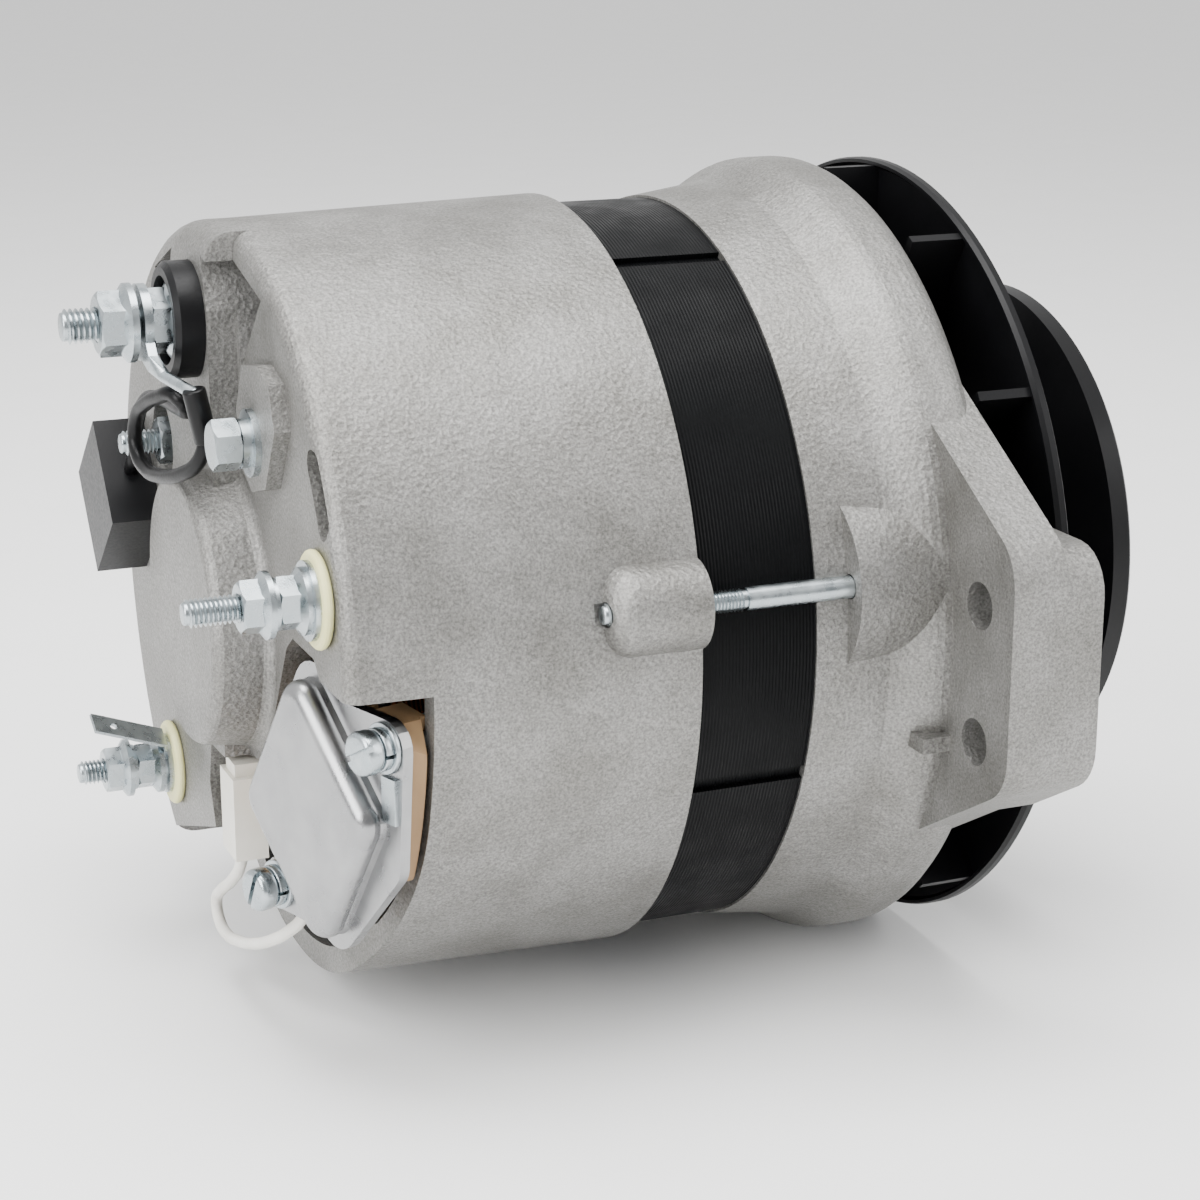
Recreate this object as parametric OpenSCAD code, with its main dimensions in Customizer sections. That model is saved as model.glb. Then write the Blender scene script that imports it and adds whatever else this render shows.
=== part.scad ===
// Alternator with a two-hole side ear, a plastic fan, a split V pulley and a bolted-on regulator.
// +X runs along the shaft towards the pulley, +Z is up, and the terminals point along -X.
// Stations along the shaft are measured from the front rim of the rear housing.
// Angles about the shaft start at -Y and grow towards +Z.

/* [Belt groove] */
// Distance from the rear housing's front rim to the middle of the belt groove
groove_x = 114; // [113:0.5:118]
// Width of the belt groove at the rim
groove_w = 13.5; // [11:0.5:14]
// Depth of the belt groove
groove_depth = 13; // [9:0.5:14]
// Full flank angle of the belt groove
groove_angle = 36; // [32:1:40]

/* [Stator] */
// Outer radius of the laminated stack where it shows
stack_r = 87.6; // [86.5:0.1:87.8]
// Length of the stack that shows between the two castings
band_len = 28; // [22:1:30]
// Length of each turned-down end that the castings hold
seat_len = 8; // [6:0.5:10]
// Depth of the turned-down step
seat_step = 2.6; // [2:0.1:3]
// Radius of the stator bore
bore_r = 64.2; // [63:0.1:66]
// Number of winding slots
slot_count = 36; // [24:6:48]
// Width of each slot
slot_w = 5.5; // [4:0.1:6]
// Thickness of the tooth tips at the bore
tooth_tip = 2.3; // [1.5:0.1:3]
// Width of the slot mouth
slot_mouth = 2.2; // [1.5:0.1:3]
// Thickness of the yoke outside the slots
yoke = 5; // [4:0.5:7]
// Insulation space between the copper and the slot walls
slot_lining = 0.3; // [0.2:0.05:0.5]
// How far the end turns stand out of the stack
end_turn_len = 16; // [12:1:18]
// Width of the axial grooves in the band
band_groove_w = 3.4; // [2:0.2:5]
// Depth of the axial grooves in the band
band_groove_depth = 1.4; // [0.8:0.1:2]

/* [Rear housing] */
// Radius of the front rim
rear_rim_r = 90; // [89:0.5:92]
// Radius of the drafted wall at the rear end
rear_end_r = 88; // [87:0.5:89]
// Length from the rim to the rear face
rear_len = 78; // [76:1:82]
// Thickness of the rear floor
rear_floor = 6; // [5:0.5:8]
// Radius of the rounded rear edge
rear_round = 4; // [3:0.5:6]
// Height of the terminal pad above the rear face
pad_h = 6.5; // [5:0.5:7.5]
// Radius of the rounded edge of the pad
pad_round = 6.5; // [5:0.5:7]
// Place of the pad's near edge along Y
pad_edge_y = -11; // [-14:0.5:-8]
// Radius of the rear bearing boss at its top
boss_r = 32; // [29:0.5:33]
// Height of the boss above the pad
boss_h = 6.5; // [5:0.5:9]
// Radius of the rounded edge of the boss
boss_round = 3; // [2:0.5:5]
// Thickness of the closed end of the boss
boss_end = 4; // [3:0.5:5]
// Inner shoulder that stops the stack
stack_shoulder = 2; // [1.5:0.1:2.5]
// Depth of the regulator notch, from the rim to its edge
notch_x = 59.5; // [58:0.5:61]
// Height of the notch's upper edge
notch_z = 1.5; // [0:0.5:4]
// Slant of the notch's edge, from its top to its foot
notch_slant = 6; // [4:0.5:9]
// Width of the cooling slot near the rim
slot_vent_w = 6.5; // [4:0.5:7]
// Inner radius of the cooling slot
slot_vent_r = 79.5; // [77:0.5:80]

/* [Drive end bracket] */
// Radius of the bracket's rear rim
front_rim_r = 88.2; // [88:0.1:90]
// Largest radius of the bracket's shoulder
front_max_r = 96; // [94:0.5:97]
// Station of the bracket's front face
front_face_x = 70; // [68:0.5:71]
// Thickness of the bracket's front wall
front_wall = 6; // [5:0.5:8]
// Number of air windows in the front wall
window_count = 6; // [5:1:8]
// Width of the spokes between the windows
spoke_w = 13; // [9:1:16]
// Outer radius of the front bearing boss
front_boss_r = 38; // [36:0.5:39]
// How far the front boss stands out of the front wall
front_boss_out = 6; // [4:0.5:7]

/* [Mounting ear] */
// Diameter of the two ear holes
ear_hole_d = 10.5; // [9:0.5:12]
// Distance between the two ear holes
ear_pitch = 30.6; // [28:0.2:34]
// Distance of the ear holes from the shaft, along -Y
ear_hole_y = 106.7; // [104:0.1:108]
// Height of the middle between the ear holes
ear_mid_z = -2.5; // [-5:0.5:2]
// Metal outside the ear holes
ear_margin = 13.8; // [11:0.2:16]
// Station of the ear's rear face
ear_x = 57; // [56:0.5:59]
// Thickness of the ear's end block
ear_t = 22; // [18:0.5:23]
// Corner radius of the ear
ear_corner = 12; // [9:0.5:14]
// Height of the top of the ear's end block
ear_block_z = 26; // [24:0.5:28]
// Radius of the end block's upper corner
ear_block_corner = 10; // [7:0.5:11]

/* [Through bolts] */
// Thread diameter of the through bolts
bolt_d = 5; // [4:0.5:5]
// Distance of the bolts from the shaft
bolt_r = 90.6; // [90.4:0.1:91.5]
// Radius of the rear housing's bolt bosses
bolt_boss_r = 10; // [8:0.5:11]
// Length of the rear housing's bolt bosses
bolt_boss_len = 23; // [18:1:26]
// Station of the bracket's bolt seats
bolt_seat_x = 35; // [33:0.5:38]
// Radius of the bracket's bolt lugs
lug_r = 22; // [19:0.5:23]

/* [Bearings] */
// Bore of the front bearing
front_brg_d = 25; // [24:0.5:26]
// Outside diameter of the front bearing
front_brg_od = 62; // [60:0.5:63]
// Width of the front bearing
front_brg_w = 17; // [15:0.5:18]
// Bore of the rear bearing
rear_brg_d = 17; // [16:0.5:18]
// Outside diameter of the rear bearing
rear_brg_od = 40; // [38:0.5:42]
// Width of the rear bearing
rear_brg_w = 12; // [11:0.5:13]
// Number of balls in each bearing
ball_count = 7; // [6:1:8]
// Radial room between the balls and the fixed race
ball_gap = 0.3; // [0.25:0.05:0.4]

/* [Rotor] */
// Air gap between the claws and the stator
air_gap = 0.4; // [0.35:0.05:0.6]
// Claws on each pole piece
claw_count = 6; // [5:1:7]
// Thickness of each pole piece's disc
pole_disc = 13; // [11:0.5:14]
// Thickness of a claw at its root
claw_root_t = 12; // [10:0.5:13]
// Thickness of a claw at its tip
claw_tip_t = 4.5; // [3:0.5:6]
// Width of a claw at its root
claw_root_w = 30; // [26:1:31]
// Width of a claw at its tip
claw_tip_w = 12; // [8:1:14]
// Radius of the iron core inside the field coil
core_r = 24; // [21:0.5:27]
// Outer radius of the field coil
coil_r = 47; // [42:0.5:49]
// Wall of the coil's bobbin
bobbin_t = 1.2; // [1:0.1:2]
// Shaft diameter in the pole pieces
shaft_d = 26; // [25.5:0.5:28]
// Shaft diameter under the fan and the pulley
nose_d = 20; // [18:0.5:21]
// Thread diameter at the shaft's nose
nose_thread_d = 16; // [14:0.5:17]
// Slip ring radius
ring_r = 14; // [12.5:0.5:15]
// Width of each slip ring
ring_w = 8; // [7:0.5:9]
// Distance between the middles of the slip rings
ring_pitch = 12; // [11:0.5:13]
// Station of the rear slip ring, behind the rim
ring_x = 64; // [62:0.5:65]

/* [Fan and pulley] */
// Outer radius of the fan disc
fan_r = 94.8; // [90:0.2:95.5]
// Station of the fan disc's rear face
fan_x = 86; // [84:0.5:87]
// Thickness of the fan disc
fan_t = 2.5; // [2:0.1:3.5]
// Number of fan blades
blade_count = 13; // [9:1:15]
// Thickness of the fan blades
blade_t = 2.2; // [1.6:0.1:3]
// Length of the fan blades along the shaft
blade_len = 14.2; // [10:0.2:14.4]
// Angle of the first fan blade
blade_phase = 33.5; // [0:0.5:60]
// Rim radius of the pulley
pulley_r = 61.3; // [56:0.1:64]
// Overall width of the pulley's rim
pulley_w = 24; // [20:0.5:25]
// Radial thickness of metal under the groove
pulley_under = 4; // [3:0.5:6]
// Thickness of each pulley half's web
pulley_web = 5; // [4:0.5:6]
// Radius of the pulley's hub
hub_r = 21; // [18:0.5:23]
// Length of the front hub, from the middle of the groove
hub_front = 8; // [7:0.5:10]
// Nut size across its flats
nose_nut_af = 24; // [22:1:27]
// Height of the pulley nut
nose_nut_h = 11; // [9:0.5:13]

/* [Terminals] */
// Thread diameter of the output stud
bplus_d = 8; // [7:0.5:8]
// Distance of the output stud's tip from the rim
bplus_tip = 114; // [110:1:116]
// Radius of the output stud's black collar
collar_r = 13.2; // [12:0.2:14]
// Height of the black collar
collar_h = 6.6; // [5:0.2:9]
// Depth of the recess that holds the inner nut
collar_recess = 3.2; // [2:0.2:4]
// Thread diameter of the two small studs
small_stud_d = 6; // [5:0.5:6]
// Size of the small nuts across their flats
small_nut_af = 10; // [9:0.5:10]
// Height of the small nuts
small_nut_h = 6.4; // [5:0.2:7]
// Flange radius of the small nuts
small_flange_r = 7.1; // [6.5:0.1:7.4]
// Distance of the long small stud's tip from the rim
dplus_tip = 107; // [104:1:110]
// Distance of the short small stud's tip from the rim
w_tip = 109; // [107:0.5:111]
// Radius of the small insulators
disc_r = 10.5; // [9:0.1:11]
// Thickness of the small insulators
disc_t = 2.2; // [2:0.2:3.2]
// Thickness of the ring terminals
lug_t = 2; // [1.5:0.1:2.5]

/* [Regulator and brushes] */
// Lean of the regulator away from the rear face
reg_tilt = 18; // [14:1:20]
// Turn of the regulator cover in its own plane
reg_roll = 7; // [4:1:9]
// Half height of the regulator cover
cover_half_h = 28.6; // [27:0.1:29]
// Half width of the regulator cover
cover_half_w = 22.8; // [21:0.1:23]
// Height of the raised cover
cover_h = 6; // [4:0.2:7]
// Corner radius of the cover
cover_corner = 6; // [4:0.5:7]
// Width of the flange around the cover
flange_w = 3.4; // [2:0.2:3.6]
// Thickness of the flange
flange_t = 2.5; // [1.5:0.1:3]
// Thickness of the brush holder's plate behind the flange
holder_t = 7; // [5:0.5:7.5]
// Width of a brush along the shaft
brush_w = 5; // [4:0.2:6]
// Depth of a brush across the shaft
brush_d = 8; // [6:0.2:9]
// Length of a brush
brush_len = 16; // [12:0.5:18]
// Room around each brush in its guide
brush_gap = 0.2; // [0.15:0.05:0.3]
// Length of the brush spring at rest
spring_len = 12; // [10:0.5:13]
// Radius of the brush spring
spring_r = 2.1; // [1.8:0.1:2.2]

/* [Capacitor] */
// Side of the capacitor's square body
cap_side = 28; // [24:0.5:28.5]
// Height of the capacitor's body
cap_h = 12.5; // [10:0.5:15]
// Turn of the body about its screw
cap_turn = 51; // [45:1:55]

/* [Fits] */
// Room of a pressed or located seat
seat_gap = 0.05; // [0.02:0.01:0.08]
// Room around a bolt in its hole
bolt_gap = 0.25; // [0.2:0.05:0.4]
// How much smaller a stud is drawn where a nut holds it
thread_gap = 0.2; // [0.18:0.01:0.3]
// Length of each stud's run-out in front of its outer nut
run_out = 0.5; // [0.3:0.1:1]
// Room around loose pieces
free_gap = 0.3; // [0.25:0.05:0.4]

/* [Hidden] */

round_fn = 96;
small_fn = 48;
past = 1;

casting = [0.72, 0.72, 0.71];
zinc = [0.78, 0.8, 0.82];
black = [0.1, 0.1, 0.11];
copper = [0.72, 0.42, 0.22];

seat_r = stack_r - seat_step;
stack_x0 = -seat_len;
stack_x1 = band_len + seat_len;
stack_mid = (stack_x0 + stack_x1) / 2;
slot_foot_r = seat_r - yoke;
slot_head_r = bore_r + tooth_tip;
cup_r = seat_r - stack_shoulder;
rear_x = -rear_len;
pad_x = rear_x - pad_h;
boss_x = pad_x - boss_h;
floor_x = rear_x + rear_floor;
draft_x = rear_x + rear_round;
front_brg_x1 = front_face_x + 2;
front_brg_x0 = front_brg_x1 - front_brg_w;
rear_brg_x0 = boss_x + boss_end;
rear_brg_x1 = rear_brg_x0 + rear_brg_w;
rotor_r = bore_r - air_gap;
bolt_angles = [9.5, 129.5, 249.5];
band_groove_angles = [65, 155, 245, 341];
ear_y = ear_hole_y + ear_margin;
nose_r = nose_d / 2;
groove_foot_r = pulley_r - groove_depth;
groove_foot_w = groove_w - 2 * groove_depth * tan(groove_angle / 2);
pulley_x0 = groove_x - pulley_w / 2;
pulley_x1 = groove_x + pulley_w / 2;
nut_seat_x = groove_x + hub_front + 3;

// Places of the terminals and screws on the rear face, as [y, z]
bplus_at = [3, 66.3];
dplus_at = [-71.8, 19.9];
w_at = [40, -51.4];
strap_at = [37.8, 31.1];
ground_at = [-35.5, 45.5];
cap_at = [61, 12.9];
brush_z = -ring_r - 0.08;
spring_z = brush_z - brush_len;
cap_wall_z = spring_z - spring_len;
reg_at = [-75.4, -61, -29.5];
reg_screws = [[23, 19.5], [-18.5, -23.5]];

// Points of an arc about c with radius r from angle a0 to a1
function arc(c, r, a0, a1, n = 6) =
    [for (i = [0:n]) c + r * [cos(a0 + (a1 - a0) * i / n), sin(a0 + (a1 - a0) * i / n)]];

// Moves the stations measured from the rim to the frame at the belt groove
module row() { translate([-groove_x, 0, 0]) children(); }

// Solid turned about the shaft from [station, radius] points
module turned(points, fn = round_fn) {
    rotate([0, 90, 0]) rotate_extrude($fn = fn) polygon([for (p = points) [p[1], p[0]]]);
}

// Cylinder along the shaft from station x0 to x1
module rod(r, x0, x1, fn = small_fn) {
    translate([x0, 0, 0]) rotate([0, 90, 0]) cylinder(r = r, h = x1 - x0, $fn = fn);
}

// Ring along the shaft
module ring(r_out, r_in, x0, x1, fn = round_fn) {
    difference() {
        rod(r_out, x0, x1, fn);
        rod(r_in, x0 - past, x1 + past, fn);
    }
}

// Extrudes an outline drawn in [y, z] along the shaft
module plate(x0, x1) {
    translate([x0, 0, 0]) rotate([90, 0, 90]) linear_extrude(x1 - x0) children();
}

// Turns a shape drawn at -Y to angle a about the shaft
module around(a) { rotate([-a, 0, 0]) children(); }

// Moves a shape drawn on the shaft's axis to [y, z]
module at_yz(p) { translate([0, p[0], p[1]]) children(); }

// Puts a shape at radius r and angle a
module at_polar(r, a) { around(a) translate([0, -r, 0]) children(); }

// Outline between angles a0 and a1 that reaches past radius r
module wedge(r, a0, a1, n = 6) {
    polygon(concat([[0, 0]], [for (i = [0:n])
        let (a = a0 + (a1 - a0) * i / n) [-r * cos(a), r * sin(a)]]));
}

// Part of a ring between angles a0 and a1
module sector(r_out, r_in, a0, a1, x0, x1) {
    intersection() {
        ring(r_out, r_in, x0, x1);
        plate(x0, x1) wedge(1.2 * r_out, a0, a1);
    }
}

// Hexagon nut body along the shaft
module hex_rod(af, x0, x1) {
    near = af * 0.487;
    far = af * 0.6;
    c = (far - near) * tan(30);
    intersection() {
        translate([x0, 0, 0]) rotate([0, 90, 0]) cylinder(r = af / 2 / cos(30), h = x1 - x0, $fn = 6);
        turned([[x0, 0], [x0, near], [x0 + c, far], [x1 - c, far], [x1, near], [x1, 0]], small_fn);
    }
}

// Nut with a hole, and with a flange on its x1 side
module flange_nut(af, d, x0, x1, flange_r, flange_h) {
    difference() {
        union() {
            hex_rod(af, x0, x1);
            if (flange_h > 0) turned([[x1 - 2 * flange_h, 0], [x1 - 2 * flange_h, flange_r * 0.75],
                [x1 - flange_h, flange_r], [x1, flange_r], [x1, 0]], small_fn);
        }
        rod(d / 2 + seat_gap, x0 - past, x1 + past);
    }
}

// Rear housing

module rear_blank() {
    turned(concat([[0, 0], [0, rear_rim_r]],
        arc([draft_x, rear_end_r - rear_round], rear_round, 90, 180), [[rear_x, 0]]));
}

module pad_blank() {
    intersection() {
        turned(concat([[draft_x, 0], [draft_x, rear_end_r]],
            arc([pad_x + pad_round, rear_end_r - pad_round], pad_round, 90, 180), [[pad_x, 0]]));
        translate([pad_x - past, pad_edge_y, -rear_rim_r])
            cube([draft_x - pad_x + 2 * past, rear_rim_r - pad_edge_y, 2 * rear_rim_r]);
    }
}

module boss_blank() {
    root = 3;
    turned(concat([[floor_x, 0], [floor_x, boss_r + 1 + root]],
        arc([rear_x - root, boss_r + 1 + root], root, 0, -90),
        arc([boss_x + boss_round, boss_r - boss_round], boss_round, 90, 180), [[boss_x, 0]]));
}

module bolt_boss_rear() {
    translate([0, -(bolt_r + 6.4 - bolt_boss_r), 0])
        turned(concat([[0, 0], [0, bolt_boss_r]],
            arc([7 - bolt_boss_len, bolt_boss_r - 6], 6, 90, 180), [[1 - bolt_boss_len, 0]]), small_fn);
}

// Cast block under the ground screw
ground_block = [[-40, 63], [-49.5, 60.5], [-53, 51], [-44, 37], [-33, 34], [-25, 38], [-22, 50],
    [-28, 61]];
ground_h = 3.5;

// Curve of the notch's long edge: where it starts, how far down it goes and its radius
edge_z = -30;
edge_drop = 44;
edge_r = (edge_drop * edge_drop + notch_slant * notch_slant) / (2 * notch_slant);

module ear_notch() {
    intersection() {
        plate(boss_x - past, 0) polygon([[-1.1 * rear_rim_r, notch_z], [-69, notch_z],
            [-65, notch_z + 3.5], [-49, notch_z + 3.5], [-44, notch_z], [-38, -8], [-30, -21],
            [-16, -33.4], [2, -34.4], [5, -45], [1, -55], [47, -71], [58, -100],
            [-1.1 * rear_rim_r, -100]]);
        translate([0, rear_rim_r, 0]) rotate([90, 0, 0]) linear_extrude(2.5 * rear_rim_r)
            polygon(concat([[boss_x - past, 20], [-notch_x, 20]],
                arc([-notch_x - edge_r, edge_z], edge_r, 0, -asin(edge_drop / edge_r), 8),
                [[-notch_x - notch_slant, -100], [boss_x - past, -100]]));
    }
}

module rear_housing() {
    wall_r = cup_r - 1;
    color(casting) row() difference() {
        union() {
            difference() {
                union() {
                    rear_blank();
                    pad_blank();
                    for (a = bolt_angles) around(a) bolt_boss_rear();
                }
                turned([[past, 0], [past, seat_r + seat_gap], [-seat_len, seat_r + seat_gap],
                    [-seat_len, cup_r], [floor_x + 4, wall_r], [floor_x, wall_r - 4], [floor_x, 0]]);
                ear_notch();
            }
            boss_blank();
            plate(rear_x - ground_h, floor_x) polygon(ground_block);
            ribs_rear();
            post_wall();
        }
        rod(rear_brg_od / 2 + seat_gap, rear_brg_x0, floor_x + past, round_fn);
        rod(rear_brg_d / 2 + 2, rear_brg_x0 - 0.8, floor_x);
        for (a = bolt_angles) at_polar(bolt_r, a)
            rod(bolt_d / 2 + bolt_gap, -bolt_boss_len - past, past);
        at_yz(bplus_at) rod(bplus_d / 2 + 2.5 + free_gap, pad_x - past, floor_x + past);
        for (p = [dplus_at, w_at, strap_at]) at_yz(p)
            rod(small_stud_d / 2 + 2 + free_gap, pad_x - past, floor_x + past);
        for (p = [dplus_at, w_at]) at_yz(p) rod(inner_disc_r + free_gap, floor_x, floor_x + 8);
        at_yz(strap_at) rod(strap_bore_r, pad_x - past, strap_seat);
        at_yz(ground_at)
            rod(small_stud_d / 2 + seat_gap, rear_x - ground_h - past, floor_x + past);
        at_yz(cap_at) rod(2 + seat_gap, pad_x - past, floor_x + past);
        cooling_slot();
        plate(pad_x - past, floor_x + past) polygon([[-7, 82], [-33, 75.5], [-15, 58]]);
        plate(pad_x - past, floor_x + past) polygon([[20, 80], [38, 73], [28, 58]]);
        for (a = screw_angles) at_polar(sink_screw_r, a)
            rod(2 + seat_gap, floor_x - 4, floor_x + past);
        for (p = reg_screws) regulator_frame() translate([p[0], p[1], -30])
            cylinder(r = 2 + seat_gap, h = 30, $fn = small_fn);
    }
}

// Curved air slot with round ends
module cooling_slot() {
    half = slot_vent_w / 2;
    mid = slot_vent_r + half;
    t0 = 154.3;
    t1 = 145.2;
    plate(rear_x - past, floor_x + 5) polygon(concat(
        arc([0, 0], mid + half, t0, t1), arc(mid * [cos(t1), sin(t1)], half, t1, t1 - 180),
        arc([0, 0], mid - half, t1, t0), arc(mid * [cos(t0), sin(t0)], half, t0 + 180, t0)));
}

// Ribs inside the rear floor, from the boss to the wall
module ribs_rear() {
    for (a = [105, 160, 215]) at_polar(0, a)
        translate([floor_x - past, -cup_r + 2, -2]) cube([5 + past, cup_r - boss_r, 4]);
}

// Posts that carry the regulator's two screws
module post_wall() {
    intersection() {
        union() {
            for (p = reg_screws) regulator_frame() translate([p[0], p[1], -flange_t - holder_t - 14])
                cylinder(r = 5, h = 14, $fn = small_fn);
            around(-52) translate([-62, -86, -2.5]) cube([6, 22, 5]);
        }
        rod(rear_end_r - 2, rear_x, 0, round_fn);
    }
}

// Drive end bracket

module bracket_blank() {
    x0 = band_len + 15;
    x1 = band_len + 29;
    r0 = front_rim_r + 2.2;
    turned(concat([[band_len, 0], [band_len, front_rim_r]],
        [for (i = [0:8]) [x0 + (x1 - x0) * i / 8, r0 + (front_max_r - r0) * (1 - cos(22.5 * i)) / 2]],
        arc([front_face_x - 7, front_max_r - 7], 7, 90, 0), [[front_face_x, 0]]));
}

function ear_outline() = concat([[-56.6, 63.6]],
    arc([ear_corner - ear_y, ear_mid_z + ear_pitch / 2 + 6.2], ear_corner, 120, 180),
    arc([ear_corner - ear_y, ear_mid_z - ear_pitch / 2 - 0.2], ear_corner, 180, 239),
    [[-66.5, -56.4], [-30, -50], [-30, 50]]);

module ear() {
    plate(ear_x, front_face_x) polygon(ear_outline());
    intersection() {
        plate(ear_x, ear_x + ear_t) polygon(ear_outline());
        plate(ear_x, ear_x + ear_t) polygon(concat(
            arc([ear_block_corner - ear_y, ear_block_z - ear_block_corner], ear_block_corner, 90, 180),
            [[-ear_y, -rear_rim_r], [-fan_r - 2.2, -rear_rim_r], [-fan_r - 2.2, ear_block_z]]));
    }
    translate([ear_x - 7, -97, -23]) cube([7, 10, 3.5]);
}

module bolt_lugs() {
    for (a = bolt_angles) at_polar(front_max_r - lug_r, a) rod(lug_r, bolt_seat_x, front_face_x - 5);
}

module bracket_cavity() {
    wall_x = front_face_x - front_wall;
    turned([[band_len - past, 0], [band_len - past, seat_r + seat_gap],
        [stack_x1, seat_r + seat_gap], [stack_x1, cup_r], [wall_x - 6, cup_r], [wall_x, cup_r - 6],
        [wall_x, 0]]);
}

module air_windows() {
    step = 360 / window_count;
    difference() {
        ring(cup_r - 10, front_boss_r + 4, front_face_x - front_wall - past, front_face_x + past);
        for (i = [0:window_count - 1]) around(step * (i + 0.5))
            translate([front_face_x - 2 * front_wall, -cup_r, -spoke_w / 2])
                cube([3 * front_wall, cup_r, spoke_w]);
    }
}

module drive_end_bracket() {
    color(casting) row() difference() {
        union() {
            difference() {
                union() {
                    bracket_blank();
                    ear();
                    bolt_lugs();
                }
                bracket_cavity();
                air_windows();
            }
            turned([[front_brg_x0, 0], [front_brg_x0, front_boss_r], [front_face_x, front_boss_r + 1.5],
                [front_face_x + front_boss_out, front_boss_r - 2], [front_face_x + front_boss_out, 0]]);
        }
        rod(front_brg_od / 2 + seat_gap, front_brg_x0 - past, front_brg_x1, round_fn);
        rod(front_brg_d / 2 + 9, front_brg_x0, front_face_x + front_boss_out + past, round_fn);
        for (a = bolt_angles) at_polar(bolt_r, a) {
            rod(bolt_d / 2 + bolt_gap, band_len - past, front_face_x + past);
            rod(bolt_d + free_gap, front_face_x - 4, front_face_x + 10);
        }
        for (s = [-1, 1]) at_yz([-ear_hole_y, ear_mid_z + s * ear_pitch / 2])
            rod(ear_hole_d / 2, ear_x - past, ear_x + ear_t + past);
        for (a = retainer_angles) at_polar(retainer_screw_r, a)
            rod(2 + seat_gap, front_brg_x0 - past, front_brg_x0 + 12);
    }
}

// Stator

module slot_cut(w, r0, r1, x0, x1) {
    translate([x0, -r1, -w / 2]) cube([x1 - x0, r1 - r0, w]);
}

module stator_core() {
    step = 360 / slot_count;
    color(black) row() difference() {
        union() {
            rod(stack_r, 0, band_len, round_fn);
            rod(seat_r, stack_x0, stack_x1, round_fn);
        }
        rod(bore_r, stack_x0 - past, stack_x1 + past, round_fn);
        for (i = [0:slot_count - 1]) around(i * step) {
            slot_cut(slot_mouth, bore_r - 2, slot_head_r + 0.5, stack_x0 - past, stack_x1 + past);
            slot_cut(slot_w, slot_head_r, slot_foot_r, stack_x0 - past, stack_x1 + past);
        }
        for (a = band_groove_angles) around(a)
            slot_cut(band_groove_w, stack_r - band_groove_depth, stack_r + past, -past, band_len + past);
    }
}

module end_turns() {
    r0 = slot_head_r + slot_lining + 0.4;
    r1 = slot_foot_r - slot_lining;
    mid = (r0 + r1) / 2;
    half = (r1 - r0) / 2;
    turned(concat([[0, r0]], arc([end_turn_len - half, mid], half, -90, 90, 10), [[0, r1]]));
}

module stator_winding() {
    step = 360 / slot_count;
    color(copper) row() {
        translate([stack_x1, 0, 0]) end_turns();
        translate([stack_x0, 0, 0]) mirror([1, 0, 0]) end_turns();
        for (i = [0:slot_count - 1]) around(i * step)
            slot_cut(slot_w - 2 * slot_lining, slot_head_r + slot_lining + 0.6,
                slot_foot_r - slot_lining - 0.2, stack_x0 - past, stack_x1 + past);
    }
}

// Bolts between the castings

module through_bolts() {
    head_x = front_face_x - 4;
    color(zinc) row() for (a = bolt_angles) at_polar(bolt_r, a) {
        rod(bolt_d / 2, -bolt_boss_len, head_x + past);
        rod(bolt_d - free_gap, head_x, head_x + bolt_d * 0.7);
    }
}

// Rectifier

sink_r = 77;
sink_r_in = 36;
sink_t = 3;
pos_sink_x = floor_x + 6;
neg_sink_x = floor_x + 28;
screw_angles = [48, 150, 205];
sink_screw_r = 70;
pos_diode_angles = [62, 116, 168];
neg_diode_angles = [76, 130, 184];
diode_r = 6.3;
diode_h = 8;
diode_at_r = 57;

module sink(x0) {
    difference() {
        sector(sink_r, sink_r_in, 36, 218, x0, x0 + sink_t);
        for (a = screw_angles) at_polar(sink_screw_r, a)
            rod(2 + bolt_gap, x0 - past, x0 + sink_t + past);
        at_yz(bplus_at) rod(bplus_d / 2 + bolt_gap, x0 - past, x0 + sink_t + past);
        at_yz(strap_at) rod(small_stud_d / 2 + bolt_gap, x0 - past, x0 + sink_t + past);
    }
}

module positive_heat_sink() { color([0.75, 0.76, 0.77]) row() sink(pos_sink_x); }

module negative_heat_sink() { color([0.75, 0.76, 0.77]) row() sink(neg_sink_x); }

module rectifier_diodes() {
    color(zinc) row() {
        for (a = pos_diode_angles) at_polar(diode_at_r, a) {
            rod(diode_r, pos_sink_x + sink_t, pos_sink_x + sink_t + diode_h - 2);
            rod(1.2, pos_sink_x + sink_t, pos_sink_x + sink_t + diode_h + 3);
        }
        for (a = neg_diode_angles) at_polar(diode_at_r, a) {
            rod(diode_r, neg_sink_x - diode_h + 2, neg_sink_x);
            rod(1.2, neg_sink_x - diode_h - 3, neg_sink_x);
        }
    }
}

// Screws with their insulating sleeves between the floor and the two heat sinks
module rectifier_screws() {
    color(zinc) row() for (a = screw_angles) at_polar(sink_screw_r, a) {
        rod(2, floor_x - 3.5, neg_sink_x + sink_t + 2);
        rod(4, neg_sink_x + sink_t, neg_sink_x + sink_t + 2.8);
        rod(5, floor_x, pos_sink_x);
        rod(5, pos_sink_x + sink_t, neg_sink_x);
    }
}

// Bearings

module race(r_out, r_in, x0, x1, ball_mid_r, groove_r) {
    difference() {
        ring(r_out, r_in, x0, x1);
        translate([(x0 + x1) / 2, 0, 0]) rotate([0, 90, 0]) rotate_extrude($fn = round_fn)
            translate([ball_mid_r, 0]) circle(r = groove_r, $fn = small_fn);
    }
}

function ball_mid(d, od) = (d + od) / 4;
function ball_rad(d, od) = (od - d) * 0.15;

module outer_race(d, od, x0, w) {
    b = ball_rad(d, od);
    race(od / 2, ball_mid(d, od) + b * 0.55, x0, x0 + w, ball_mid(d, od), b + ball_gap);
}

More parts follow.
